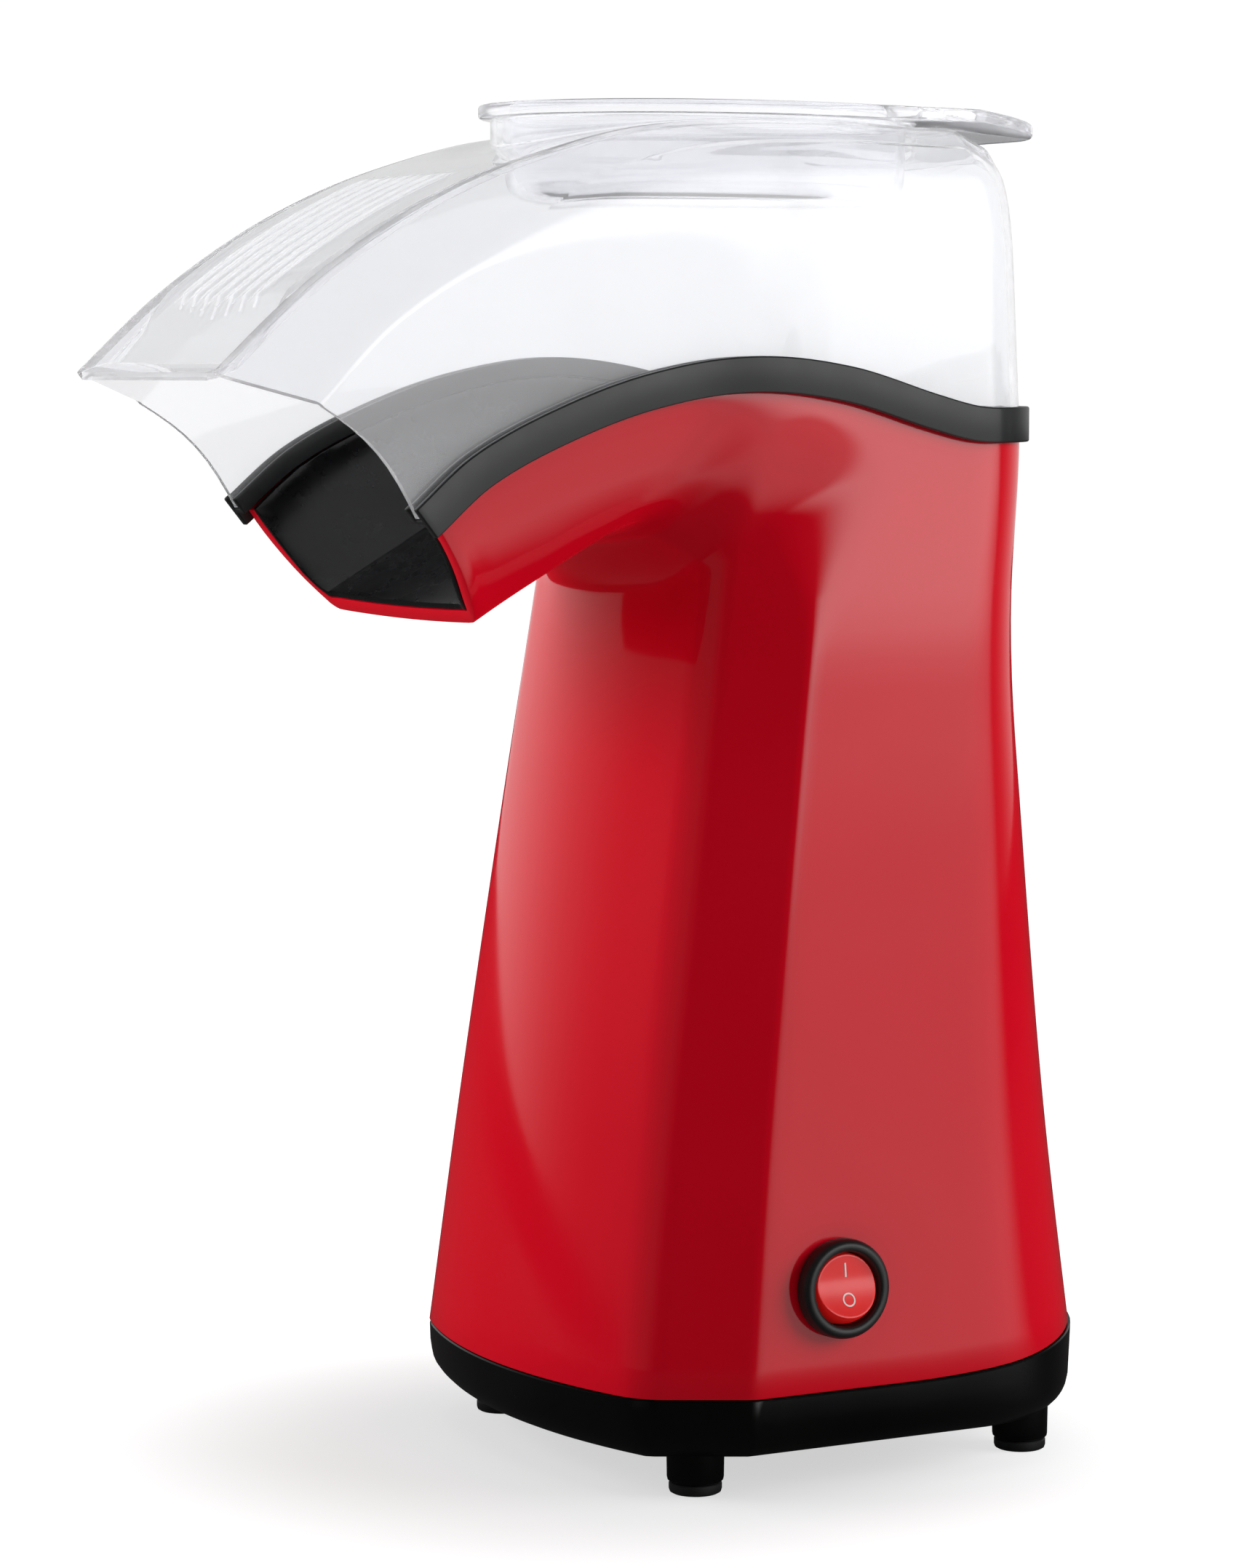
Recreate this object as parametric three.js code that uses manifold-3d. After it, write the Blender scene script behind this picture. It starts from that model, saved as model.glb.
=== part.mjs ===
// Hot-air popcorn maker, in millimetres, +Z up.
// The tower frame has X to the right, -Y towards the chute's mouth, and its origin on the table, midway
// between the four feet. The exported group moves that origin to the middle of the whole part's footprint.
import * as THREE from "three";
import { mergeVertices } from "three/addons/utils/BufferGeometryUtils.js";
import Module from "manifold-3d";

const wasm = await Module();
wasm.setup();

const { lerp, clamp, smoothstep, degToRad } = THREE.MathUtils;
const TURN = Math.PI * 2;

// ---- Driving dimensions ------------------------------------------------------------------------------

const GAP = 0.35; // clearance between pieces that touch

// Tower, as [height, value]: the bowed front face ends at the front edge, a flat facet runs from there to
// the side edge, and the side runs back to a round rear corner.
const SEAM_Z = 27.5; // lower edge of the housing at the front
const SEAM_RISE = 8.5; // how much higher that edge is at the rear
const FRONT_EDGE_X = curveThrough([[27.5, 60.6], [87, 57.4], [143, 54.6], [199, 51.3], [284, 45.5]]);
const FRONT_EDGE_Y = curveThrough([[27.5, -70.9], [87, -63.6], [143, -55.9], [199, -48], [284, -36]]);
const FRONT_BOW = curveThrough([[27.5, 11.5], [230, 8], [290, 8]]);
const SIDE_EDGE_X = curveThrough([
  [27.5, 75.3], [87, 71.9], [143, 69.1], [199, 65.7], [225, 64.1], [284, 58.6],
]);
const SIDE_EDGE_Y = curveThrough([[27.5, -44.8], [87, -38.7], [143, -32], [199, -24.7], [284, -13]]);
const REAR_Y = curveThrough([[27.5, 73.8], [99, 62.8], [170, 54.6], [225, 50.6], [272, 55.4], [290, 55.8]]);
const REAR_CORNER_R = curveThrough([[27.5, 41], [225, 18], [290, 18]]);
const SIDE_SPREAD = 0.025; // how fast the side widens towards the rear at the tower's foot
const REAR_BOW = 2.5;
const FRONT_EDGE_ROUND = 4.4;
const SIDE_EDGE_ROUND = 0.4;
const HOUSING_WALL = 2.8;
const NECK_Z = 232; // the chute branches off above this height

// Chute: its floor falls forward in a straight line from the tower to the lip.
const LIP_Y = -107.2;
const LIP_Z = 226.8;
const FLOOR_SLOPE = 0.573;
const FLOOR_HALF_WIDTH = 42.2;
const FLOOR_SAG = 1.2;
const MOUTH_TOP_Y = -124;
const MOUTH_TOP_Z = 250.2;
const CHUTE_TOP_HALF_WIDTH = curveThrough([[-135, 55], [-35, 57.5], [60, 57.5]]);
const CHUTE_SIDE_DEPTH = 31; // over this depth the side closes in from the top's width to the floor's
const NECK_BLEND = 28;

// Band: the lower edge of its outer wall, as [y, z]; what is stacked on it is measured square to that edge.
const BAND_EDGE = curveThrough([
  [-126.4, 249], [-110.4, 262], [-86.9, 273.2], [-62.9, 280.9], [-36, 284.8],
  [-9.6, 282.3], [16.1, 275.1], [30, 271.9], [44, 271.5], [60, 271.8],
]);
const BAND_FRONT_Y = -126.4;
const BAND_HEIGHT = 9.3;
const BAND_PROUD = 2.6; // the outer wall's outer face stands this far outside the housing
const BAND_WEB = [4.1, 5.6];
const BAND_INNER = -2.8; // outer face of its inner wall
const EDGE_UNDER_WEB = 3.4; // top edges of the housing and the liner
const HOOD_FOOT = 6.2;

// Levels across the wall, measured outwards from the housing's outer face.
const LINER_OUT = -3.3;
const LINER_IN = -5.2;
const DECK_T = 2;

// Hood, as [y, z]: a ridge along each side of the top panel and a shoulder below it.
const RIDGE_X = 43.2;
const SHOULDER_X = 56.8;
const RIDGE_Z = curveThrough([
  [-180, 290], [-158, 309.6], [-134, 326], [-111, 337.6], [-88, 345.8],
  [-64, 351.9], [-37, 354.6], [-5, 355.2], [20, 354.2], [60, 353],
]);
const SHOULDER_Z = curveThrough([
  [-157.7, 282.7], [-137.5, 302.3], [-109.5, 319.1], [-73, 335], [-30, 344.5], [60, 345],
]);
const HOOD_TIP_Y = -180;
const SHOULDER_TIP_Y = -157.7;
const HOOD_FRONT_Y = -126.2;
const SCALLOP = 3.4; // how far the hood's front side edge is hollowed
const HOOD_WALL = 2;
const HOOD_CORNER_Y = 34.4; // the hood's rear corners turn about this line
const HOOD_CORNER_R = 16.5;
const HOOD_REAR = { shoulderZ: 336, ridgeReach: 11.2, ridgeZ: 347.9, topY: 30.9, topR: 20 };
const COLLAR_TOP_Z = 355.9;
const COLLAR_WALL = 1.6;
const COLLAR_CLEAR = 1.6; // between the cap's bowl and the collar

// Measuring cap: an oval bowl with a flat rim and a tab that droops at the rear.
const CAP_Y = -16.6;
const BOWL_X = 38.8;
const BOWL_Y = 57.9;
const BOWL_FLOOR_Z = 334.5;
const BOWL_WALL = 2;
const RIM_X = 45.8;
const RIM_Y = 64.2;
const RIM_Z = 356.3;
const RIM_T = 3.6;
const TAB = { halfWidth: 37.5, endY: 72.5, corner: 20, blend: 10, bendY: 45, slope: 0.14 };

// Works: everything round the popping chamber's axis.
const AXIS_Y = -1;
const CHAMBER_R = 38;
const CHAMBER_FLOOR_Z = 140;
const CHAMBER_CORNER = 2.6;
const CHAMBER_FLANGE_R = 45;
const SHEET = 0.9;
const DUCT_R = 43.6;
const DUCT_FOOT_Z = 80;
const PLATE_Z = 81.5;
const FAN_R = 34;
const FAN_Z = 88;
const MOTOR_R = 17.5;
const MOTOR_FOOT_Z = 44;
const MOTOR_TOP_Z = 79;
const SHAFT_R = 1.6;
const EAR = { x: 50.5, y: 16, r: 4.5, hole: 1.8 };

// Base pan and feet.
const PAN_FLOOR_Z = 10.5;
const PAN_WALL = 2.6;
const FOOT = { x: 54.3, y: 50.7, post: 7.5, pad: 6.9, padTop: 2.8 };
const BOSSES = [[34, -70.9], [-34, -70.9], [70.3, 20], [-70.3, 20]];

// Switch, on the right-hand side face.
const SWITCH = { y: -19.3, z: 54.2, bezel: 13, opening: 9.7, barrel: 10.1, rocker: 9.3, tilt: 12 };

const GLAND = { x: 0, z: 50, bore: 4.2, neck: 6.4, flange: 9, endY: 80.4 };

// ---- Curves and small maths --------------------------------------------------------------------------

// A smooth function of one value through [value, result] points, straight beyond its ends.
function curveThrough(points) {
  const last = points.length - 1;
  const slope = points.map((p, i) => {
    const a = points[Math.max(i - 1, 0)];
    const b = points[Math.min(i + 1, last)];
    return (b[1] - a[1]) / (b[0] - a[0]);
  });
  return (x) => {
    if (x <= points[0][0]) return points[0][1] + slope[0] * (x - points[0][0]);
    if (x >= points[last][0]) return points[last][1] + slope[last] * (x - points[last][0]);
    const i = points.findIndex((p) => p[0] > x) - 1;
    const [x0, y0] = points[i];
    const [x1, y1] = points[i + 1];
    const w = x1 - x0;
    const t = (x - x0) / w;
    const tt = t * t;
    const ttt = tt * t;
    return (
      (2 * ttt - 3 * tt + 1) * y0 + (ttt - 2 * tt + t) * w * slope[i] +
      (3 * tt - 2 * ttt) * y1 + (ttt - tt) * w * slope[i + 1]
    );
  };
}

const steps = (n) => Array.from({ length: n + 1 }, (_, i) => i / n);

// Rounded intersection and rounded union of two distance-like values.
const roundMax = (a, b, r) =>
  Math.min(-r, Math.max(a, b)) + Math.hypot(Math.max(a + r, 0), Math.max(b + r, 0));
const roundMin = (a, b, r) =>
  Math.max(r, Math.min(a, b)) - Math.hypot(Math.max(r - a, 0), Math.max(r - b, 0));

// Slope of the band's edge and the point a distance up from it, square to it, in the side view.
function bandSlope(y) {
  return Math.atan2(BAND_EDGE(y + 0.5) - BAND_EDGE(y - 0.5), 1);
}

function aboveBandEdge(y, up) {
  const slope = bandSlope(y);
  return [y - Math.sin(slope) * up, BAND_EDGE(y) + Math.cos(slope) * up];
}

// ---- The housing's outer skin ------------------------------------------------------------------------

// Side face's half width at a height and depth.
function sideX(y, z) {
  const spread = SIDE_SPREAD * clamp(1 - (z - SEAM_Z) / 256, 0, 1);
  return SIDE_EDGE_X(z) + spread * (y - SIDE_EDGE_Y(z));
}

// Distance-like value of a point: 0 on the housing's outer face, negative inside.
function skinLevel(x, y, z) {
  const ax = Math.abs(x);
  const ex = FRONT_EDGE_X(z);
  const ey = FRONT_EDGE_Y(z);
  const front = ey - FRONT_BOW(z) * (1 - (ax / ex) ** 2) - y;
  const dx = SIDE_EDGE_X(z) - ex;
  const dy = SIDE_EDGE_Y(z) - ey;
  const facet = ((ax - ex) * dy - (y - ey) * dx) / Math.hypot(dx, dy);
  const tower = roundMax(front, facet, FRONT_EDGE_ROUND);

  const floorZ = LIP_Z + FLOOR_SLOPE * (y - LIP_Y) - FLOOR_SAG * (1 - (ax / FLOOR_HALF_WIDTH) ** 2);
  const floor = (floorZ - z) / Math.hypot(1, FLOOR_SLOPE);
  const depth = Math.max(0, (BAND_EDGE(y) - z) * Math.cos(bandSlope(y)));
  const closing = (CHUTE_TOP_HALF_WIDTH(y) - FLOOR_HALF_WIDTH) * (depth / CHUTE_SIDE_DEPTH) ** 1.6;
  const flank = (ax - CHUTE_TOP_HALF_WIDTH(y) + closing) / 1.08;
  const chute = roundMax(floor, flank, 3);

  const fade = smoothstep(z, 222, 262);
  const walls = roundMax(roundMin(tower, chute, NECK_BLEND), ax - sideX(y, z), SIDE_EDGE_ROUND + 8 * fade);
  const rear = y - REAR_Y(z) + REAR_BOW * (ax / 50) ** 2;
  return roundMax(walls, rear, REAR_CORNER_R(z));
}

// First point along a ray where a level is reached, starting inside.
function hit(origin, direction, level = 0) {
  const at = (t) => origin.clone().addScaledVector(direction, t);
  const value = (t) => {
    const p = at(t);
    return skinLevel(p.x, p.y, p.z) - level;
  };
  let near = 0;
  let far = 3;
  while (value(far) < 0 && far < 200) {
    near = far;
    far += 3;
  }
  for (let i = 0; i < 34; i++) {
    const mid = (near + far) / 2;
    if (value(mid) < 0) near = mid;
    else far = mid;
  }
  return at((near + far) / 2);
}

const vec = (x, y, z) => new THREE.Vector3(x, y, z);

// The skin is a net. Its columns run from the tower's foot to the top edge, and half of them, from the
// front's middle to the rear's middle, lie on the right-hand side.
const FRONT_COLUMNS = steps(4).map((s) => ({ part: "front", s }));
const FLANK_COLUMNS = steps(8).slice(1).map((s) => ({ part: "flank", s }));
const SIDE_COLUMNS = steps(4).slice(1).map((s) => ({ part: "side", s }));
const CORNER_COLUMNS = steps(4).slice(1).map((s) => ({ part: "corner", s }));
const REAR_COLUMNS = steps(2).slice(1).map((s) => ({ part: "rear", s }));
const HALF_COLUMNS = [
  ...FRONT_COLUMNS, ...FLANK_COLUMNS, ...SIDE_COLUMNS, ...CORNER_COLUMNS, ...REAR_COLUMNS,
];
const MOUTH_SHARE = 0.25; // the flank columns that end on the mouth's edge
const SIDE_TOP_Y = -14; // where the side edge would meet the band

const rearCornerY = (z) => REAR_Y(z) - REAR_CORNER_R(z);
const rearCornerX = (z) => sideX(rearCornerY(z), z) - REAR_CORNER_R(z);

// Rays that find the front: they turn with the surface from the tower's front round to the chute's floor.
function frontRay(w) {
  const guide = new THREE.CubicBezierCurve(
    new THREE.Vector2(-26, NECK_Z), new THREE.Vector2(-28, 262),
    new THREE.Vector2(-74, 272), new THREE.Vector2(LIP_Y - 8.7, LIP_Z + 12.2),
  ).getPoint(w);
  const end = Math.atan2(LIP_Z - MOUTH_TOP_Z, LIP_Y - MOUTH_TOP_Y) + TURN;
  const turn = lerp(Math.PI, end, smoothstep(w, 0, 1));
  return { guide, dir: vec(0, Math.cos(turn), Math.sin(turn)) };
}

function frontPoint(w, s) {
  const { guide, dir } = frontRay(w);
  const x = s * lerp(FRONT_EDGE_X(NECK_Z), FLOOR_HALF_WIDTH, smoothstep(w, 0, 1));
  return hit(vec(x, guide.x, guide.y), dir);
}

// Top edge of the flank, from the lip's corner up the mouth's edge and back along the band.
function flankTop(s, up) {
  const corner = frontPoint(1, 1);
  if (s <= MOUTH_SHARE) {
    const t = s / MOUTH_SHARE;
    const [y, z] = aboveBandEdge(BAND_FRONT_Y + 2.2, up);
    return [lerp(corner.y, y, t), lerp(corner.z, z, t)];
  }
  const t = (s - MOUTH_SHARE) / (1 - MOUTH_SHARE);
  return aboveBandEdge(lerp(BAND_FRONT_Y + 2.2, SIDE_TOP_Y, t), up);
}

// Side-view place of a net node on the right-hand side, between two columns whose places are known. The
// rows start level at the foot and bend ever more towards the top edge's own line.
function between(s, w, left, right, top) {
  const mix = (k) => lerp(left(w)[k], right(w)[k], s) + w * w * (top(s)[k] - lerp(left(1)[k], right(1)[k], s));
  return [mix(0), mix(1)];
}

function headPoint(column, w, up) {
  const { part, s } = column;
  const sideTop = aboveBandEdge(SIDE_TOP_Y, up);
  const middle = (t) => {
    const z = lerp(NECK_Z, sideTop[1], t);
    return [lerp(SIDE_EDGE_Y(z), sideTop[0], t), z];
  };
  const rearTop = aboveBandEdge(rearCornerY(272), up);
  const rearLine = (t) => {
    const z = lerp(NECK_Z, rearTop[1], t);
    return [lerp(rearCornerY(z), rearTop[0], t), z];
  };
  if (part === "front") return frontPoint(w, s);
  if (part === "flank") {
    const edge = (t) => {
      const p = frontPoint(t, 1);
      return [p.y, p.z];
    };
    const [y, z] = between(s, w, edge, middle, (t) => flankTop(t, up));
    return hit(vec(0, y, z), vec(1, 0, 0));
  }
  if (part === "side") {
    const top = (t) => aboveBandEdge(lerp(SIDE_TOP_Y, rearCornerY(272), t), up);
    const [y, z] = between(s, w, middle, rearLine, top);
    return hit(vec(0, y, z), vec(1, 0, 0));
  }
  const z = lerp(NECK_Z, rearTop[1], w);
  return rearPoint(part, s, z, lerp(rearCornerY(z), rearTop[0], w));
}

function rearPoint(part, s, z, y) {
  const x = rearCornerX(z);
  if (part === "rear") return hit(vec(x * (1 - s), y, z), vec(0, 1, 0));
  const angle = (s * Math.PI) / 2;
  return hit(vec(x, y, z), vec(Math.cos(angle), Math.sin(angle), 0));
}

function towerPointAt(column, z) {
  const { part, s } = column;
  if (part === "front") return hit(vec(s * FRONT_EDGE_X(z), -26, z), vec(0, -1, 0));
  if (part === "corner" || part === "rear") return rearPoint(part, s, z, rearCornerY(z));
  const edge = hit(vec(FRONT_EDGE_X(z), -26, z), vec(0, -1, 0));
  const y =
    part === "flank"
      ? lerp(edge.y, SIDE_EDGE_Y(z), s)
      : lerp(SIDE_EDGE_Y(z), rearCornerY(z), s);
  return hit(vec(0, y, z), vec(1, 0, 0));
}

// Height of the seam between housing and pan at a depth.
const seamZ = (y) => SEAM_Z + SEAM_RISE * clamp(y / 73, 0, 1) ** 2;

function towerPoint(column, share) {
  const z = lerp(SEAM_Z, NECK_Z, share);
  const p = towerPointAt(column, z);
  const lift = (seamZ(p.y) - SEAM_Z) * (1 - share);
  return lift > 0 ? towerPointAt(column, z + lift) : p;
}

// Outward direction of the skin at a point.
function skinNormal({ x, y, z }) {
  const h = 0.02;
  return vec(
    skinLevel(x + h, y, z) - skinLevel(x - h, y, z),
    skinLevel(x, y + h, z) - skinLevel(x, y - h, z),
    skinLevel(x, y, z + h) - skinLevel(x, y, z - h),
  ).normalize();
}

// The point on another level that lies square behind a point of the outer face.
function atLevel(p, level) {
  if (level === 0) return p;
  const inwards = skinNormal(p).negate();
  let near = 0;
  let far = -level * 2;
  for (let i = 0; i < 30; i++) {
    const mid = (near + far) / 2;
    const { x, y, z } = p.clone().addScaledVector(inwards, mid);
    if (skinLevel(x, y, z) > level) near = mid;
    else far = mid;
  }
  return p.clone().addScaledVector(inwards, near);
}

// The whole net at a level: columns right round, each a list of points from the first row up.
function skinColumns(level, towerShares, headShares, up = EDGE_UNDER_WEB) {
  const half = HALF_COLUMNS.map((column) => [
    ...towerShares.map((share) => towerPoint(column, share)),
    ...headShares.map((w) => headPoint(column, w, up)),
  ].map((p) => atLevel(p, level)));
  half[0].concat(half.at(-1)).forEach((p) => (p.x = 0));
  return allRound(half);
}

// Right-hand columns and their mirror images, anticlockwise seen from above.
function allRound(half) {
  const mirrored = half.slice(1, -1).reverse().map((column) => column.map((p) => vec(-p.x, p.y, p.z)));
  return [...half, ...mirrored];
}

// ---- Closed solids -----------------------------------------------------------------------------------

function geometryOf(triangles) {
  const g = new THREE.BufferGeometry();
  g.setAttribute("position", new THREE.Float32BufferAttribute(triangles.flatMap((p) => [p.x, p.y, p.z]), 3));
  return g;
}

// A quad of two triangles, split along its shorter diagonal.
function quad(out, a, b, c, d) {
  if (a.distanceTo(c) <= b.distanceTo(d)) out.push(a, b, c, a, c, d);
  else out.push(a, b, d, b, c, d);
}

// Columns that go right round, each a closed ring of points.
function ringSolid(columns) {
  const out = [];
  columns.forEach((column, j) => {
    const next = columns[(j + 1) % columns.length];
    column.forEach((p, i) => {
      const k = (i + 1) % column.length;
      quad(out, p, next[i], next[k], column[k]);
    });
  });
  return geometryOf(out);
}

// Loops from the outside's foot up and over to the inside's foot, closed by a fan at each end.
function cupSolid(loops) {
  const out = [];
  for (let i = 0; i + 1 < loops.length; i++) {
    loops[i].forEach((p, j) => {
      const k = (j + 1) % loops[i].length;
      quad(out, p, loops[i][k], loops[i + 1][k], loops[i + 1][j]);
    });
  }
  const middle = (loop) => loop.reduce((sum, p) => sum.add(p), vec(0, 0, 0)).divideScalar(loop.length);
  const first = loops[0];
  const last = loops.at(-1);
  const firstMiddle = middle(first);
  const lastMiddle = middle(last);
  first.forEach((p, j) => out.push(firstMiddle, first[(j + 1) % first.length], p));
  last.forEach((p, j) => out.push(lastMiddle, p, last[(j + 1) % last.length]));
  return geometryOf(out);
}

// A closed section carried along stations, with both ends capped. Each station maps a section point.
function sweptSolid(section, stations) {
  const rings = stations.map((place) => section.map(([n, u]) => place(n, u)));
  const out = [];
  for (let i = 0; i + 1 < rings.length; i++) {
    section.forEach((_, j) => {
      const k = (j + 1) % section.length;
      quad(out, rings[i][j], rings[i + 1][j], rings[i + 1][k], rings[i][k]);
    });
  }
  const outline = section.map(([n, u]) => new THREE.Vector2(n, u));
  const caps = THREE.ShapeUtils.triangulateShape(outline, []);
  const first = rings[0];
  const last = rings.at(-1);
  caps.forEach(([a, b, c]) => out.push(first[a], first[b], first[c], last[a], last[c], last[b]));
  return geometryOf(out);
}

function solid(geometry) {
  const g = geometry.clone();
  for (const name of Object.keys(g.attributes)) if (name !== "position") g.deleteAttribute(name);
  const merged = mergeVertices(g, 1e-4);
  const made = new wasm.Manifold(
    new wasm.Mesh({
      numProp: 3,
      vertProperties: merged.attributes.position.array,
      triVerts: new Uint32Array(merged.index.array),
    }),
  );
  return made;
}

function geometryFrom(manifold) {
  const mesh = manifold.getMesh();
  const g = new THREE.BufferGeometry();
  const count = mesh.vertProperties.length / mesh.numProp;
  const position = new Float32Array(count * 3);
  for (let i = 0; i < count; i++) {
    position.set(mesh.vertProperties.subarray(i * mesh.numProp, i * mesh.numProp + 3), i * 3);
  }
  g.setAttribute("position", new THREE.BufferAttribute(position, 3));
  g.setIndex(new THREE.BufferAttribute(new Uint32Array(mesh.triVerts), 1));
  return g;
}

const union = (list) => list.slice(1).reduce((all, one) => all.add(one), list[0]);
const cut = (body, tools) => tools.reduce((left, tool) => left.subtract(tool), body);

// Basic solids, ready to join or cut.
function box(x0, x1, y0, y1, z0, z1) {
  const g = new THREE.BoxGeometry(x1 - x0, y1 - y0, z1 - z0);
  g.translate((x0 + x1) / 2, (y0 + y1) / 2, (z0 + z1) / 2);
  return solid(g);
}

// A lathed profile of [radius, height] points about an upright axis.
function lathe(profile, x, y, segments = 24) {
  const closed = profile.every(([r]) => r > 0);
  const points = (closed ? [...profile, profile[0]] : profile).map(([r, z]) => new THREE.Vector2(r, z));
  const g = new THREE.LatheGeometry(points, segments);
  g.rotateX(Math.PI / 2);
  g.translate(x, y, 0);
  return solid(g);
}

const rod = (r, z0, z1, x, y, segments = 16) =>
  lathe([[0, z0], [r, z0], [r, z1], [0, z1]], x, y, segments);

// ---- Materials ---------------------------------------------------------------------------------------

const paint = (color, roughness, metalness = 0, opacity = 1) =>
  new THREE.MeshStandardMaterial({ color, roughness, metalness, opacity, transparent: opacity < 1 });
const RED_PLASTIC = paint(0xb30f24, 0.16);
const BLACK_PLASTIC = paint(0x151515, 0.45);
const BAND_PLASTIC = paint(0x2b2c2c, 0.55);
const CLEAR_PLASTIC = paint(0xeef1f4, 0.05, 0, 0.3);
const ROCKER_PLASTIC = paint(0xe0241c, 0.2, 0, 0.85);
const RUBBER = paint(0x101010, 0.9);
const ALUMINIUM = paint(0xc4c6c8, 0.35, 1);
const STEEL = paint(0x8e9194, 0.4, 1);
const BRASS = paint(0xb8924a, 0.35, 1);
const MICA = paint(0xa9987c, 0.6);
const COPPER = paint(0xa8572c, 0.4, 1);
const BOARD = paint(0x2c5a34, 0.6);
const WHITE_NYLON = paint(0xd8d6cf, 0.5);
const WIRE_JACKET = paint(0xe4e2da, 0.5);

// ---- Shells --------------------------------------------------------------------------------------------

const HOUSING_TOWER = [0, 0.2, 0.42, 0.64, 0.84];
const HOUSING_HEAD = steps(6);

function housing() {
  const outer = skinColumns(0, HOUSING_TOWER, HOUSING_HEAD);
  const inner = skinColumns(-HOUSING_WALL, HOUSING_TOWER, HOUSING_HEAD);
  inner.forEach((column, j) => (column[0].z = outer[j][0].z));
  const shell = solid(ringSolid(outer.map((column, j) => [...column, ...inner[j].slice().reverse()])));
  const bosses = BOSSES.map(([x, y]) => rod(4, seamZ(y) + 1, 40, x, y, 12));
  const pilots = BOSSES.map(([x, y]) => rod(1.9, 20, 38, x, y, 10));
  const seat = switchBody(SWITCH.barrel + GAP, -30, 10);
  const gland = glandRod(GLAND.neck + GAP, -12, 12);
  return cut(union([shell, ...bosses]), [...pilots, seat, gland]);
}

// Points round the pan's outside at an inset from the housing's foot.
function panLoop(inset, heightAt) {
  const half = HALF_COLUMNS.map((column) => {
    const outer = towerPointAt(column, SEAM_Z);
    const p = hit(vec(0, 0, SEAM_Z), vec(outer.x, outer.y, 0).normalize(), -inset);
    p.z = heightAt(outer.y);
    return p;
  });
  half[0].x = 0;
  half.at(-1).x = 0;
  return allRound(half.map((p) => [p])).map((column) => column[0]);
}

function basePan() {
  const rim = (inset, drop) => panLoop(inset, (y) => seamZ(y) - GAP - drop);
  const level = (inset, up) => panLoop(inset, () => PAN_FLOOR_Z + up);
  const outside = [level(12, 0), level(8, 0.5), level(4.4, 2.4), level(1.8, 6), rim(0.5, 6), rim(0.3, 0)];
  const inside = [rim(0.3 + PAN_WALL, 0), level(1.8 + PAN_WALL, 7), level(6.5, 3.4), level(12, 2.5)];
  const shell = solid(cupSolid([...outside, ...inside]));
  const envelope = solid(cupSolid(outside));
  const posts = feet().map(([x, y]) => rod(FOOT.post, FOOT.padTop + GAP, PAN_FLOOR_Z + 1, x, y, 16));
  const sockets = feet().map(([x, y]) => rod(3.6, 0, 8, x, y, 12));
  const bosses = BOSSES.map(([x, y]) =>
    rod(4.6, PAN_FLOOR_Z, seamZ(y) - 0.6, x, y, 12).intersect(envelope));
  const bores = BOSSES.map(([x, y]) => rod(1.9, 0, 60, x, y, 10));
  const recesses = BOSSES.map(([x, y]) => rod(3.9, 0, PAN_FLOOR_Z + 7, x, y, 12));
  const slots = steps(10).slice(1).map((s) => {
    const slot = new THREE.BoxGeometry(3.2, 22, 12);
    slot.translate(0, 29, PAN_FLOOR_Z);
    slot.rotateZ(s * TURN);
    slot.translate(0, AXIS_Y, 0);
    return solid(slot);
  });
  return cut(union([shell, ...posts, ...bosses]), [...sockets, ...bores, ...recesses, ...slots]);
}

function feet() {
  return [[FOOT.x, -FOOT.y], [-FOOT.x, -FOOT.y], [FOOT.x, FOOT.y], [-FOOT.x, FOOT.y]];
}

const footPad = (x, y) =>
  lathe([[0, 0], [FOOT.pad - 0.8, 0], [FOOT.pad, 0.8], [FOOT.pad, FOOT.padTop], [3.2, FOOT.padTop],
    [3.2, 7], [0, 7]], x, y, 16);

// Liner: lines the chute and the tower's head, and its deck carries the popping chamber.
function chuteLiner() {
  const rows = steps(6);
  const lift = (columns, z) => columns.map((column) => {
    const p = column[0].clone();
    p.z = z;
    return [p, ...column.slice(1)];
  });
  const outer = lift(skinColumns(LINER_OUT, [], rows), NECK_Z);
  const inner = lift(skinColumns(LINER_IN, [], rows), NECK_Z + DECK_T);
  const mouthR = CHAMBER_R - 0.4;
  const ring = outer.map((column, j) => {
    const angle = Math.atan2(column[0].y - AXIS_Y, column[0].x);
    const hole = (z) => vec(Math.cos(angle) * mouthR, AXIS_Y + Math.sin(angle) * mouthR, z);
    return [hole(NECK_Z), ...column, ...inner[j].slice().reverse(), hole(NECK_Z + DECK_T)];
  });
  return cut(solid(ringSolid(ring)), ears().map(([x, y]) => rod(EAR.hole, 225, 240, x, y, 8)));
}

function ears() {
  return [[EAR.x, AXIS_Y - EAR.y], [EAR.x, AXIS_Y + EAR.y],
    [-EAR.x, AXIS_Y + EAR.y], [-EAR.x, AXIS_Y - EAR.y]];
}

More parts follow.
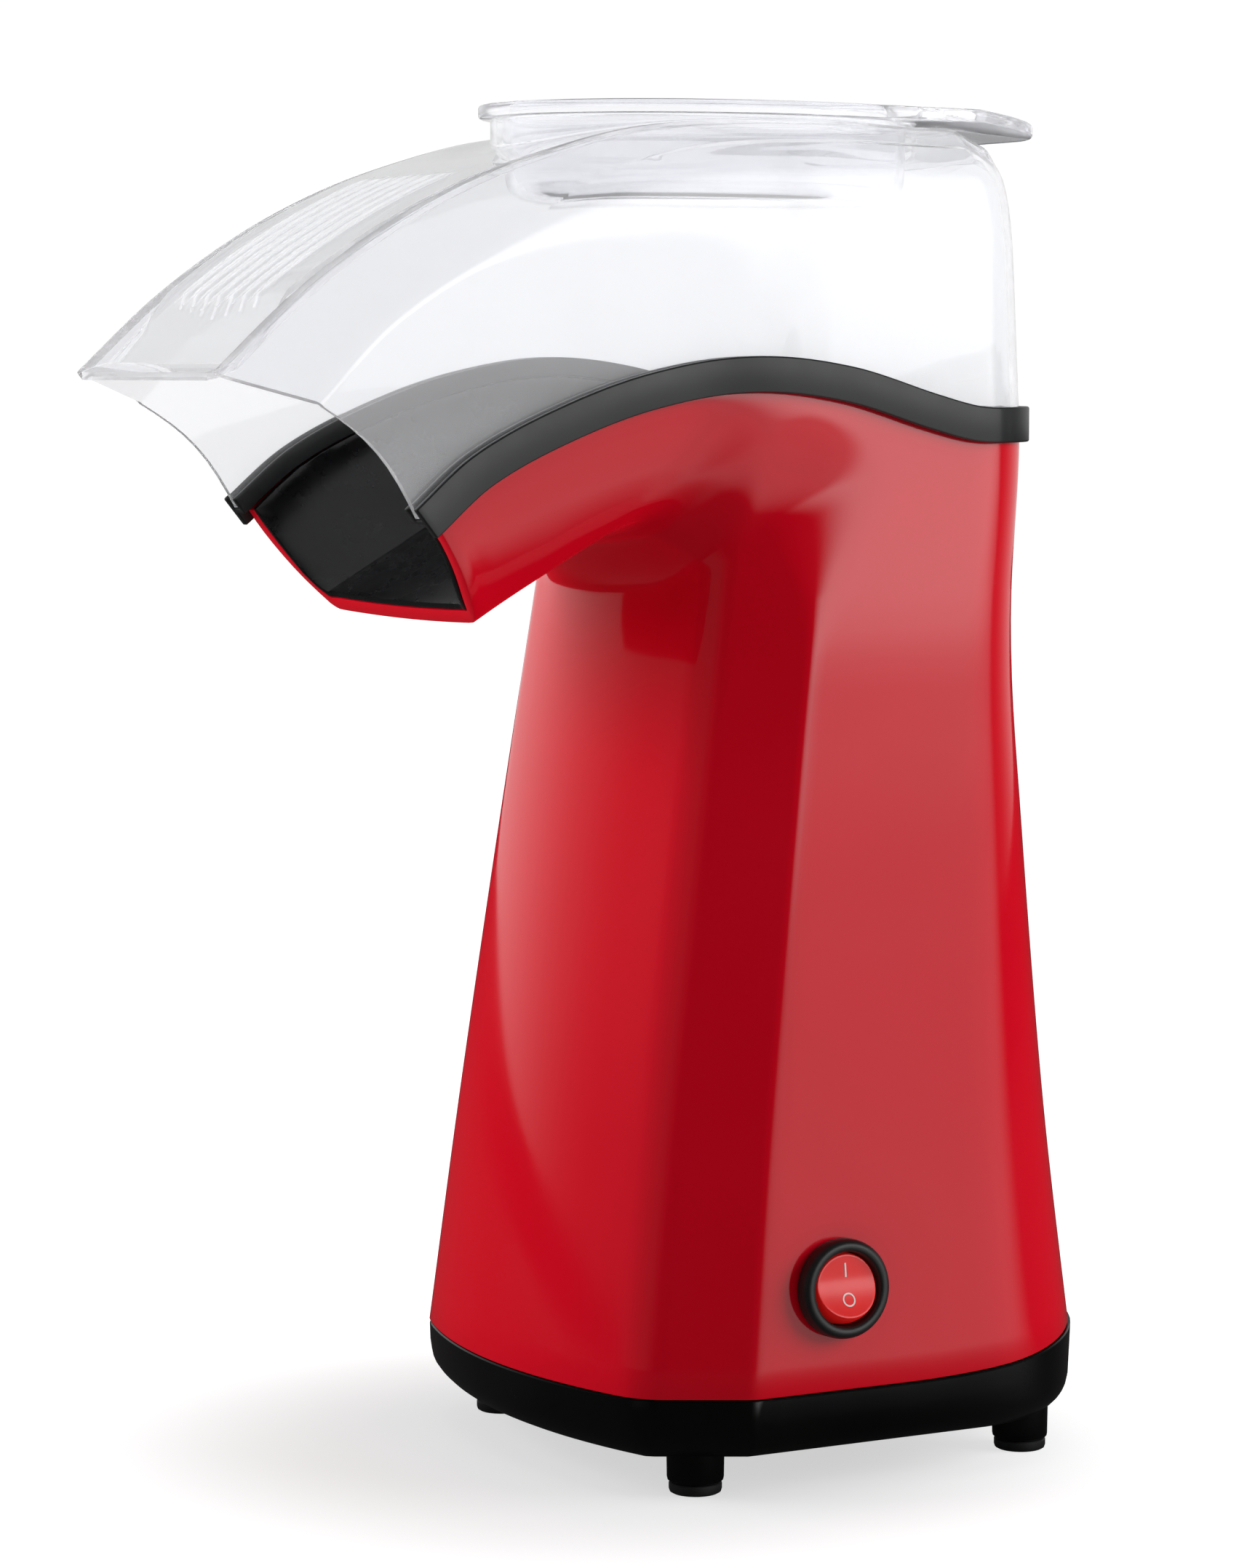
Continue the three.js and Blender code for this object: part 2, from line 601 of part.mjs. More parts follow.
// Stations along the top edge: from the mouth on the right, round the rear, to the mouth on the left.
function edgePath(frontY, sideCount) {
  const half = [
    ...steps(sideCount).map((s) => {
      const y = lerp(frontY, rearCornerY(272), s);
      return { y, at: hit(vec(0, y, BAND_EDGE(y)), vec(1, 0, 0)), turn: 0 };
    }),
    ...CORNER_COLUMNS.map(({ s }) => ({ turn: (s * Math.PI) / 2, part: "corner", s })),
    ...REAR_COLUMNS.map(({ s }) => ({ turn: Math.PI / 2, part: "rear", s })),
  ].map((station) => {
    if (!station.part) return station;
    const z = 276;
    return { ...station, at: rearPoint(station.part, station.s, z, rearCornerY(272)), y: 60 };
  });
  const stations = half.map(({ at, turn, y, part }) => {
    const slope = part ? 0 : bandSlope(y);
    const foot = part ? BAND_EDGE(rearCornerY(272)) : BAND_EDGE(y);
    const edgeY = part ? at.y : y;
    return { x: at.x, y: edgeY, z: foot, slope, nx: Math.cos(turn), ny: Math.sin(turn) };
  });
  const last = stations.at(-1);
  last.x = 0;
  const left = stations.slice(0, -1).reverse().map((t) => ({ ...t, x: -t.x, nx: -t.nx }));
  return [...stations, ...left];
}

// Point at a station: n outwards from the housing's face, u up from the band's edge and square to it.
const placeOn = (t) => (n, u) =>
  vec(t.x + t.nx * n, t.y + t.ny * n - Math.sin(t.slope) * u, t.z + Math.cos(t.slope) * u);

function trimBand() {
  const innerWall = BAND_INNER - 1.6;
  const section = [
    [BAND_PROUD, 0], [BAND_PROUD, BAND_HEIGHT], [0.5, BAND_HEIGHT], [0.5, BAND_WEB[1]],
    [BAND_INNER, BAND_WEB[1]], [BAND_INNER, BAND_HEIGHT], [innerWall, BAND_HEIGHT], [innerWall, BAND_WEB[0]],
    [GAP + 0.1, BAND_WEB[0]], [GAP + 0.1, 0],
  ];
  return solid(sweptSolid(section, edgePath(BAND_FRONT_Y, 12).map(placeOn)));
}

// ---- Hood --------------------------------------------------------------------------------------------

const HOOD_SIDE = 10;

// Three points of the hood's section at each station: foot, shoulder and ridge.
function hoodStations() {
  const path = edgePath(HOOD_FRONT_Y, HOOD_SIDE);
  const halfCount = (path.length + 1) / 2;
  return path.map((t, i) => {
    const side = Math.sign(t.x) || 1;
    const order = i < halfCount ? i : path.length - 1 - i;
    const foot = placeOn(t)(-0.1, HOOD_FOOT);
    if (order <= HOOD_SIDE) {
      const s = order / HOOD_SIDE;
      const shoulderY = lerp(SHOULDER_TIP_Y, HOOD_CORNER_Y, s);
      const ridgeY = lerp(HOOD_TIP_Y, HOOD_CORNER_Y, s);
      return {
        foot,
        shoulder: vec(side * SHOULDER_X, shoulderY, SHOULDER_Z(shoulderY)),
        ridge: vec(side * RIDGE_X, ridgeY, RIDGE_Z(ridgeY)),
        soft: smoothstep(shoulderY, -120, -50),
        hollow: SCALLOP * Math.max(0, 1 - order / 2),
      };
    }
    const angle = Math.atan2(t.ny, Math.abs(t.nx));
    const rearward = Math.sin(angle);
    const across = Math.min(Math.abs(t.x / path[HOOD_SIDE + CORNER_COLUMNS.length].x), 1);
    const ring = (reach, z) => vec(
      side * ((SHOULDER_X - HOOD_CORNER_R) * across + reach * Math.cos(angle)),
      HOOD_CORNER_Y + reach * rearward,
      z,
    );
    const reach = lerp(RIDGE_X - SHOULDER_X + HOOD_CORNER_R, HOOD_REAR.ridgeReach, rearward);
    return {
      foot,
      shoulder: ring(HOOD_CORNER_R, lerp(SHOULDER_Z(HOOD_CORNER_Y), HOOD_REAR.shoulderZ, rearward)),
      ridge: ring(reach, lerp(RIDGE_Z(HOOD_CORNER_Y), HOOD_REAR.ridgeZ, rearward)),
      soft: 1,
      hollow: 0,
    };
  });
}

// Rows of one section, from the foot to just inside the ridge.
function hoodSection({ foot, shoulder, ridge, soft, hollow }) {
  const round = lerp(0.06, 0.42, soft);
  const part = (a, b, t) => a.clone().lerp(b, t);
  const crown = ridge.clone();
  crown.x *= 0.993;
  const bend = (a, b, c, t) => part(part(a, b, t), part(b, c, t), t);
  const a = part(shoulder, foot, round * 0.8);
  const c = part(shoulder, ridge, round);
  const d = part(ridge, shoulder, round);
  const waist = part(foot, a, 0.5).add(vec(0, hollow * 0.6, hollow * 0.7));
  return [foot, waist, a, bend(a, shoulder, c, 0.5), c, d, bend(d, ridge, crown, 0.5), crown];
}

// Oval round the cap, at a clearance from the bowl.
const oval = (angle, grow) =>
  [Math.cos(angle) * (BOWL_X + grow), CAP_Y + Math.sin(angle) * (BOWL_Y + grow)];

// Height of the hood's top, which follows the ridges and rounds down at the rear.
function topZ(y) {
  const over = clamp(y - HOOD_REAR.topY, 0, HOOD_REAR.topR);
  return RIDGE_Z(y) - HOOD_REAR.topR + Math.sqrt(HOOD_REAR.topR ** 2 - over ** 2);
}

function hood() {
  const stations = hoodStations();
  const walls = stations.map(hoodSection);
  const rows = walls[0].length;
  const right = walls[0].at(-1);
  const left = walls.at(-1).at(-1);
  const frontEdge = steps(5).slice(1, -1).map((s) => left.clone().lerp(right, s));
  const rim = [...walls.map((w) => w.at(-1)), ...frontEdge];
  const angleAt = (i) => Math.PI / 2 + ((i - (walls.length - 1) / 2) / rim.length) * TURN;
  const top = rim.map((p, i) => {
    const [x, y] = oval(angleAt(i), COLLAR_CLEAR + COLLAR_WALL);
    const half = vec((x + p.x) / 2, (y + p.y) / 2, 0);
    half.z = topZ(half.y);
    return [p, half, vec(x, y, topZ(y)), vec(x, y, COLLAR_TOP_Z)];
  });
  const under = rim.map((p, i) => {
    const [x, y] = oval(angleAt(i), COLLAR_CLEAR);
    return [vec(x, y, topZ(y) - HOOD_WALL), vec(x, y, COLLAR_TOP_Z)];
  });

  // Inner skin: each outer point moved inwards by the wall, square to the surface.
  const inward = (grid, i, j) => {
    const before = grid[Math.max(i - 1, 0)][j];
    const after = grid[Math.min(i + 1, grid.length - 1)][j];
    const below = grid[i][Math.max(j - 1, 0)];
    const above = grid[i][Math.min(j + 1, grid[i].length - 1)];
    const along = after.clone().sub(before);
    const up = above.clone().sub(below);
    return grid[i][j].clone().addScaledVector(along.cross(up).normalize(), -HOOD_WALL);
  };
  const innerWalls = walls.map((w, i) => w.map((_, j) => inward(walls, i, j)));
  innerWalls.forEach((w, i) => (w[0].z = walls[i][0].z));
  const innerTop = top.map((column, i) => {
    const below = column[0].clone().setZ(column[0].z - HOOD_WALL * 1.2);
    const first = i < walls.length ? innerWalls[i].at(-1) : below;
    return [first, column[1].clone().setZ(column[1].z - HOOD_WALL), ...under[i]];
  });

  const out = [];
  for (let i = 0; i + 1 < walls.length; i++) {
    for (let j = 0; j + 1 < rows; j++) {
      quad(out, walls[i][j], walls[i + 1][j], walls[i + 1][j + 1], walls[i][j + 1]);
      quad(out, innerWalls[i][j], innerWalls[i][j + 1], innerWalls[i + 1][j + 1], innerWalls[i + 1][j]);
    }
    quad(out, walls[i][0], innerWalls[i][0], innerWalls[i + 1][0], walls[i + 1][0]);
  }
  for (let j = 0; j + 1 < rows; j++) {
    quad(out, walls[0][j], walls[0][j + 1], innerWalls[0][j + 1], innerWalls[0][j]);
    const end = walls.length - 1;
    quad(out, walls[end][j], innerWalls[end][j], innerWalls[end][j + 1], walls[end][j + 1]);
  }
  top.forEach((column, i) => {
    const k = (i + 1) % top.length;
    for (let j = 0; j + 1 < column.length; j++) {
      quad(out, column[j], top[k][j], top[k][j + 1], column[j + 1]);
      quad(out, innerTop[i][j], innerTop[i][j + 1], innerTop[k][j + 1], innerTop[k][j]);
    }
    quad(out, column.at(-1), top[k].at(-1), innerTop[k].at(-1), innerTop[i].at(-1));
    if (i >= walls.length - 1) quad(out, column[0], innerTop[i][0], innerTop[k][0], top[k][0]);
  });
  return solid(geometryOf(out));
}

// ---- Measuring cap -----------------------------------------------------------------------------------

// Plan radius of the rim with its tab, along a direction from the bowl's middle.
function rimPoint(angle, inset) {
  const c = Math.cos(angle);
  const s = Math.sin(angle);
  const tabX = TAB.halfWidth - TAB.corner;
  const tabY = TAB.endY - CAP_Y - TAB.corner;
  const outside = (r) => {
    const x = Math.abs(r * c);
    const y = r * s;
    const ring = (Math.hypot(x / (RIM_X - inset), y / (RIM_Y - inset)) - 1) * RIM_X;
    const tab = Math.hypot(x - clamp(x, 0, tabX), y - clamp(y, 0, tabY)) - TAB.corner + inset;
    return roundMin(ring, tab, TAB.blend);
  };
  let near = 0;
  let far = 160;
  for (let i = 0; i < 30; i++) {
    const mid = (near + far) / 2;
    if (outside(mid) < 0) near = mid;
    else far = mid;
  }
  return [near * c, CAP_Y + near * s];
}

function measuringCap() {
  const angles = steps(36).slice(1).map((s) => s * TURN);
  const droop = (y) => -TAB.slope * Math.max(0, y - TAB.bendY);
  const bowl = (grow, z) => angles.map((a) => vec(...oval(a, grow), z));
  const rim = (inset, z) => angles.map((a) => {
    const [x, y] = rimPoint(a, inset);
    return vec(x, y, z + droop(y));
  });
  const outside = [bowl(-9, BOWL_FLOOR_Z), bowl(-3, BOWL_FLOOR_Z + 1.6), bowl(-0.4, BOWL_FLOOR_Z + 6),
    bowl(0, RIM_Z), rim(0, RIM_Z)];
  const inside = [rim(0, RIM_Z + RIM_T), bowl(-BOWL_WALL, RIM_Z + RIM_T),
    bowl(-BOWL_WALL - 0.4, BOWL_FLOOR_Z + 7), bowl(-BOWL_WALL - 3.4, BOWL_FLOOR_Z + 3.4),
    bowl(-BOWL_WALL - 9, BOWL_FLOOR_Z + BOWL_WALL)];
  return solid(cupSolid([...outside, ...inside]));
}

// ---- Popping chamber, duct and heater ----------------------------------------------------------------

const CHAMBER_TOP_Z = NECK_Z - GAP;
const DUCT_TOP_Z = CHAMBER_TOP_Z - SHEET - GAP;
const SEGMENTS = 28;

function flangeEars(z0, z1) {
  return ears().map(([x, y]) => {
    const side = Math.sign(x);
    const tongue = box(Math.min(side * 34, x), Math.max(side * 34, x), y - EAR.r, y + EAR.r, z0, z1);
    return tongue.add(rod(EAR.r, z0, z1, x, y, 12));
  });
}

const earHoles = () => ears().map(([x, y]) => rod(EAR.hole, 200, 240, x, y, 8));

function poppingChamber() {
  const r = CHAMBER_R;
  const low = CHAMBER_FLOOR_Z;
  const top = CHAMBER_TOP_Z;
  const cup = lathe([
    [0, low], [r - CHAMBER_CORNER, low], [r, low + CHAMBER_CORNER], [r, top - SHEET],
    [CHAMBER_FLANGE_R, top - SHEET], [CHAMBER_FLANGE_R, top], [r - SHEET, top],
    [r - SHEET, low + CHAMBER_CORNER + 0.4], [r - CHAMBER_CORNER - 0.4, low + SHEET], [0, low + SHEET],
  ], 0, AXIS_Y, SEGMENTS);
  const flange = flangeEars(top - SHEET, top).map((ear) =>
    ear.subtract(rod(r - 0.5, top - 5, top + 5, 0, AXIS_Y, SEGMENTS)));
  const louvres = steps(12).slice(1).map((s) => {
    const slot = new THREE.BoxGeometry(8, 2.4, 12);
    slot.rotateX(degToRad(35));
    slot.translate(r, 0, low + 17);
    slot.rotateZ((s + 1 / 48) * TURN);
    slot.translate(0, AXIS_Y, 0);
    return solid(slot);
  });
  return cut(union([cup, ...flange]), [...earHoles(), ...louvres]);
}

function airDuct() {
  const top = DUCT_TOP_Z;
  const tube = lathe([
    [DUCT_R, DUCT_FOOT_Z], [DUCT_R + SHEET, DUCT_FOOT_Z], [DUCT_R + SHEET, top - SHEET],
    [DUCT_R + SHEET + 1.2, top - SHEET], [DUCT_R + SHEET + 1.2, top], [DUCT_R, top],
  ], 0, AXIS_Y, SEGMENTS);
  const flange = flangeEars(top - SHEET, top).map((ear) =>
    ear.subtract(rod(DUCT_R + 0.3, top - 5, top + 5, 0, AXIS_Y, SEGMENTS)));
  return cut(union([tube, ...flange]), earHoles());
}

const HEATER_Z = 108;

function heaterFrame() {
  const reach = DUCT_R - 0.6;
  const vane = (turn) => {
    const g = new THREE.BoxGeometry(2 * reach, 0.8, 22);
    g.rotateZ(turn);
    g.translate(0, AXIS_Y, HEATER_Z + 11);
    return solid(g);
  };
  return union([vane(Math.PI / 4), vane((3 * Math.PI) / 4)]);
}

// Resistance wire: a flat spiral that lies on the vanes' upper edges.
class Spiral extends THREE.Curve {
  getPoint(t) {
    const angle = t * 3.25 * TURN;
    const r = lerp(13, 36, t);
    return vec(Math.cos(angle) * r, AXIS_Y + Math.sin(angle) * r, HEATER_Z + 22 + 1.3 + GAP);
  }
}

function tubeAlong(curve, r, count, sides) {
  const shape = new THREE.Shape(steps(sides).slice(1).map((s) =>
    new THREE.Vector2(Math.cos(s * TURN) * r, Math.sin(s * TURN) * r)));
  const g = new THREE.ExtrudeGeometry(shape, { steps: count, extrudePath: curve, bevelEnabled: false });
  return solid(g);
}

const heaterCoil = () => tubeAlong(new Spiral(), 1.2, 64, 5);

// ---- Fan and motor -----------------------------------------------------------------------------------

function motorPlate() {
  const disc = lathe([[0, PLATE_Z], [DUCT_R - 0.4, PLATE_Z], [DUCT_R - 0.4, PLATE_Z + 1.5], [0, PLATE_Z + 1.5]],
    0, AXIS_Y, SEGMENTS);
  const holes = steps(6).slice(1).map((s) =>
    rod(6.5, PLATE_Z - 4, PLATE_Z + 4, Math.cos(s * TURN) * 29, AXIS_Y + Math.sin(s * TURN) * 29, 14));
  const middle = rod(6.6, PLATE_Z - 4, PLATE_Z + 4, 0, AXIS_Y, 16);
  const screwHoles = MOTOR_SCREWS.map(([x, y]) => rod(1.8, PLATE_Z - 4, PLATE_Z + 4, x, y, 8));
  return cut(disc, [...holes, middle, ...screwHoles]);
}

const MOTOR_SCREWS = [[0, AXIS_Y - 11], [0, AXIS_Y + 11]];

function fanImpeller() {
  const hub = lathe([[SHAFT_R + 0.25, FAN_Z], [7, FAN_Z], [7, FAN_Z + 8], [SHAFT_R + 0.25, FAN_Z + 8]],
    0, AXIS_Y, 16);
  const disc = lathe([[6, FAN_Z], [FAN_R, FAN_Z], [FAN_R, FAN_Z + 1], [6, FAN_Z + 1]], 0, AXIS_Y, 24);
  const blades = steps(10).slice(1).map((s) => {
    const blade = new THREE.BoxGeometry(24, 1, 9);
    blade.rotateZ(degToRad(-18));
    blade.translate(19.5, 0, FAN_Z + 5);
    blade.rotateZ(s * TURN);
    blade.translate(0, AXIS_Y, 0);
    return solid(blade);
  });
  return union([hub, disc, ...blades]);
}

function motorCan() {
  const r = MOTOR_R;
  const shell = lathe([
    [4.4, MOTOR_TOP_Z], [4.4, MOTOR_TOP_Z - 1.4], [r - 1.4, MOTOR_TOP_Z - 1.4], [r - 1.4, MOTOR_FOOT_Z],
    [r, MOTOR_FOOT_Z], [r, MOTOR_TOP_Z],
  ], 0, AXIS_Y, 24);
  return cut(shell, MOTOR_SCREWS.map(([x, y]) => rod(1.8, MOTOR_TOP_Z - 6, MOTOR_TOP_Z + 6, x, y, 8)));
}

const motorEndBell = () =>
  lathe([[4.4, MOTOR_FOOT_Z - 3], [MOTOR_R - 0.3, MOTOR_FOOT_Z - 3], [MOTOR_R - 0.3, MOTOR_FOOT_Z - GAP],
    [MOTOR_R - 1.8, MOTOR_FOOT_Z - GAP], [MOTOR_R - 1.8, MOTOR_FOOT_Z + 2], [4.4, MOTOR_FOOT_Z + 2]],
    0, AXIS_Y, 24);

const bearing = (z0, z1) =>
  lathe([[SHAFT_R + 0.1, z0], [4.1, z0], [4.1, z1], [SHAFT_R + 0.1, z1]], 0, AXIS_Y, 24);

function motorMagnet(side) {
  const ring = lathe([[12.6, 50], [15.8, 50], [15.8, 74], [12.6, 74]], 0, AXIS_Y, 24);
  const x = side > 0 ? [2.5, 20] : [-20, -2.5];
  return ring.intersect(box(x[0], x[1], AXIS_Y - 20, AXIS_Y + 20, 40, 80));
}

function rotor() {
  const core = lathe([[SHAFT_R + 0.1, 51], [12, 51], [12, 73], [SHAFT_R + 0.1, 73]], 0, AXIS_Y, 24);
  const slots = steps(3).slice(1).map((s) => {
    const slot = new THREE.BoxGeometry(8, 2.4, 40);
    slot.translate(10, 0, 62);
    slot.rotateZ(s * TURN);
    slot.translate(0, AXIS_Y, 0);
    return solid(slot);
  });
  return cut(core, slots);
}

const motorShaft = () => rod(SHAFT_R, MOTOR_FOOT_Z - 4, FAN_Z + 10, 0, AXIS_Y, 24);

// ---- Small electrical pieces -------------------------------------------------------------------------

const rectifierBoard = () => box(-15, 15, AXIS_Y - 11, AXIS_Y + 11, 34, 35.6);
const diodeBridge = () => box(-8, 8, AXIS_Y - 4, AXIS_Y + 4, 35.6 + GAP, 39.2);

// A lathed piece whose axis points along +X, from a [radius, distance] profile.
function latheAlongX(profile, x, y, z, segments = 16) {
  const closed = profile.every(([r]) => r > 0);
  const points = (closed ? [...profile, profile[0]] : profile).map(([r, d]) => new THREE.Vector2(r, d));
  const g = new THREE.LatheGeometry(points, segments);
  g.rotateZ(-Math.PI / 2);
  g.translate(x, y, z);
  return solid(g);
}

const DUCT_SIDE_X = DUCT_R + SHEET + GAP;

const thermostat = () =>
  latheAlongX([[0, 0], [8, 0], [8, 4], [6, 5.5], [6, 8], [0, 8]], DUCT_SIDE_X, AXIS_Y, 150);
const thermalFuse = () =>
  latheAlongX([[0, 0], [2.2, 0], [2.2, 11], [0, 11]], DUCT_SIDE_X, AXIS_Y + 14, 172, 10);

// Wires inside the tower, from terminal to terminal.
function wire(points) {
  const curve = new THREE.CatmullRomCurve3(points.map((p) => vec(...p)));
  return tubeAlong(curve, 1.1, 4 * (points.length - 1), 6);
}

const WIRES = {
  wire_gland_to_switch: [[0, 54, 46], [10, 48, 42], [34, 26, 38], [38, -14, 46], [41.6, SWITCH.y, 48]],
  wire_gland_to_board: [[-3, 56, 48], [-8, 44, 44], [-10, 26, 40], [-9, 14, 37.3]],
  wire_switch_to_thermostat: [
    [41, SWITCH.y, 57.4], [38, -21, 64], [47, -18, 84], [52, -6, 120], [54.2, AXIS_Y - 2, 147],
  ],
  wire_thermostat_to_fuse: [[54.2, AXIS_Y + 2, 153.5], [57.5, AXIS_Y + 8, 162], [57.4, AXIS_Y + 14, 170]],
  wire_fuse_to_heater: [[57.4, AXIS_Y + 14.6, 174.5], [55, 30, 168], [44, 34, 140], [34, 35.5, 126]],
};

// ---- Switch and gland --------------------------------------------------------------------------------

// The switch's own frame: +Z along its outward normal, +Y up the side face, origin on that face.
function switchFrame(geometry) {
  const x = sideX(SWITCH.y, SWITCH.z);
  const lean = Math.atan2(SIDE_EDGE_X(SWITCH.z + 5) - SIDE_EDGE_X(SWITCH.z - 5), 10);
  const up = vec(Math.sin(lean), 0, Math.cos(lean));
  const out = vec(Math.cos(lean), 0, -Math.sin(lean));
  const across = up.clone().cross(out);
  const place = new THREE.Matrix4().makeBasis(across, up, out).setPosition(x, SWITCH.y, SWITCH.z);
  return geometry.applyMatrix4(place);
}

function switchLathe(profile, segments = 28) {
  const closed = profile.every(([r]) => r > 0);
  const points = (closed ? [...profile, profile[0]] : profile).map(([r, d]) => new THREE.Vector2(r, d));
  const g = new THREE.LatheGeometry(points, segments);
  g.rotateX(Math.PI / 2);
  return solid(switchFrame(g));
}

const switchBody = (r, d0, d1) => switchLathe([[0, d0], [r, d0], [r, d1], [0, d1]]);

const bezelProfile = [
  [SWITCH.opening, -2.2], [SWITCH.barrel, -2.2], [SWITCH.barrel, 0.6], [SWITCH.bezel, 0.6],
  [SWITCH.bezel, 2], [SWITCH.bezel - 1.4, 3.3], [SWITCH.opening, 3.3],
];
const switchBezel = () => switchLathe(bezelProfile);

const PIVOT_DEPTH = 0.6; // the rocker's pivot stands this far out of the side face
const VALLEY_RISE = 2.6; // from the pivot to the valley between the rocker's two faces

const switchHousing = () =>
  switchLathe([[0, -24], [8.6, -24], [8.6, -20], [SWITCH.barrel - 0.1, -20], [SWITCH.barrel - 0.1, -2.2 - GAP],
    [SWITCH.opening - 0.1, -2.2 - GAP], [SWITCH.opening - 0.1, -10], [0, -10]]);

// Rocker: part of a ball about its pivot, with two faces that meet in a shallow valley.
function rocker() {
  const r = SWITCH.rocker;
  const arc = steps(10).map((s) => {
    const a = degToRad(lerp(-42, 50, s));
    return [Math.cos(a) * r, PIVOT_DEPTH + Math.sin(a) * r];
  });
  const ball = switchLathe([[0, arc[0][1]], ...arc, [0, arc.at(-1)[1]]]);
  const tops = [1, -1].map((side) => {
    const g = new THREE.BoxGeometry(40, 20, 20);
    g.translate(0, side * 10, 10);
    g.rotateX(degToRad(side * SWITCH.tilt));
    g.translate(0, 0, PIVOT_DEPTH + VALLEY_RISE);
    return solid(switchFrame(tiltRest(g)));
  });
  return cut(ball, tops);
}

// At rest the upper half is pressed in, so the rocker stands turned by its tilt about the pivot.
function tiltRest(g) {
  g.translate(0, 0, -PIVOT_DEPTH);
  g.rotateX(degToRad(-SWITCH.tilt));
  g.translate(0, 0, PIVOT_DEPTH);
  return g;
}

function switchTerminal(across, up) {
  const g = new THREE.BoxGeometry(4.8, 0.8, 7.5);
  g.translate(across, up, -24 - GAP - 3.75);
  return solid(switchFrame(g));
}

// The gland's own frame: +Y along the rear face's outward normal, origin on that face.
function glandFrame(geometry) {
  geometry.rotateX(Math.atan2(REAR_Y(GLAND.z - 5) - REAR_Y(GLAND.z + 5), 10));
  geometry.translate(GLAND.x, REAR_Y(GLAND.z), GLAND.z);
  return solid(geometry);
}

function glandRod(r, back, front) {
  const g = new THREE.CylinderGeometry(r, r, front - back, 20);
  g.translate(0, (front + back) / 2, 0);
  return glandFrame(g);
}

function cordGland() {
  const { bore, neck, flange } = GLAND;
  const profile = [
    [bore, -6], [neck - 0.1, -6], [neck - 0.1, 0.5], [flange, 0.5], [flange, 3], [neck - 1, 7],
    [bore + 1, 9.5], [bore, 9.5],
  ];
  const outline = [...profile, profile[0]].map(([r, d]) => new THREE.Vector2(r, d));
  return glandFrame(new THREE.LatheGeometry(outline, 20));
}

// ---- Screws ------------------------------------------------------------------------------------------

// A screw that points up, with its head's underside at z and its thread r wide and long enough.
const screwUp = (x, y, z, r, head, long) =>
  lathe([[0, z - 2.2], [head - 0.6, z - 2.2], [head, z - 1.4], [head, z], [r, z], [r, z + long],
    [0, z + long + r]], x, y, 12);

const screwDown = (x, y, z, r, head, long) =>
  lathe([[0, z - long - r], [r, z - long], [r, z], [head, z], [head, z + 1.2], [head - 0.6, z + 2], [0, z + 2]],
    x, y, 12);

// ---- The assembly ------------------------------------------------------------------------------------

const assembly = new THREE.Group();

function add(name, body, material) {
  const mesh = new THREE.Mesh(geometryFrom(body), material);
  mesh.name = name;
  assembly.add(mesh);
}

add("housing", housing(), RED_PLASTIC);
add("base_pan", basePan(), BLACK_PLASTIC);
["front_right", "front_left", "rear_right", "rear_left"].forEach((where, i) => {
  add("foot_pad_" + where, footPad(...feet()[i]), RUBBER);
});
add("trim_band", trimBand(), BAND_PLASTIC);
add("chute_liner", chuteLiner(), BLACK_PLASTIC);
add("hood", hood(), CLEAR_PLASTIC);
add("measuring_cap", measuringCap(), CLEAR_PLASTIC);

add("popping_chamber", poppingChamber(), ALUMINIUM);
add("air_duct", airDuct(), STEEL);
add("heater_frame", heaterFrame(), MICA);
add("heater_coil", heaterCoil(), STEEL);
add("thermostat", thermostat(), WHITE_NYLON);
add("thermal_fuse", thermalFuse(), WHITE_NYLON);

add("motor_plate", motorPlate(), STEEL);
add("fan_impeller", fanImpeller(), ALUMINIUM);
add("motor_can", motorCan(), STEEL);
add("motor_end_bell", motorEndBell(), WHITE_NYLON);
add("motor_bearing_upper", bearing(MOTOR_TOP_Z - 3.5, MOTOR_TOP_Z + 1.5), BRASS);
add("motor_bearing_lower", bearing(MOTOR_FOOT_Z - 2.5, MOTOR_FOOT_Z + 1.5), BRASS);
add("motor_magnet_right", motorMagnet(1), paint(0x2a2a2c, 0.7));
add("motor_magnet_left", motorMagnet(-1), paint(0x2a2a2c, 0.7));
add("rotor", rotor(), COPPER);
add("motor_shaft", motorShaft(), STEEL);
add("rectifier_board", rectifierBoard(), BOARD);
add("diode_bridge", diodeBridge(), BLACK_PLASTIC);

add("switch_bezel", switchBezel(), BLACK_PLASTIC);
add("switch_body", switchHousing(), BLACK_PLASTIC);
add("rocker", rocker(), ROCKER_PLASTIC);
add("switch_terminal_live", switchTerminal(0, -4.5), BRASS);
add("switch_terminal_load", switchTerminal(0, 4.5), BRASS);
add("cord_gland", cordGland(), RUBBER);
for (const [name, points] of Object.entries(WIRES)) add(name, wire(points), WIRE_JACKET);

BOSSES.forEach(([x, y], i) => {
  add("base_screw_" + (i + 1), screwUp(x, y, PAN_FLOOR_Z + 7 - GAP, 1.5, 3.5, 17), STEEL);
});
ears().forEach(([x, y], i) => {
  add("chamber_screw_" + (i + 1), screwUp(x, y, DUCT_TOP_Z - SHEET - GAP, 1.4, 3, 6.4), STEEL);
});
MOTOR_SCREWS.forEach(([x, y], i) => {
  add("motor_screw_" + (i + 1), screwDown(x, y, PLATE_Z + 1.5 + GAP, 1.4, 2.6, 7), STEEL);
});

const product = new THREE.Group();
assembly.position.y = -(HOOD_TIP_Y + GLAND.endY) / 2;
product.add(assembly);

export default product;
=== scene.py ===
"""Looks for the hot-air popcorn maker: fine skins, clear plastic, moulded plastics and metals."""

import math

import bmesh
import bpy
import numpy as np
from mathutils import Matrix, Vector


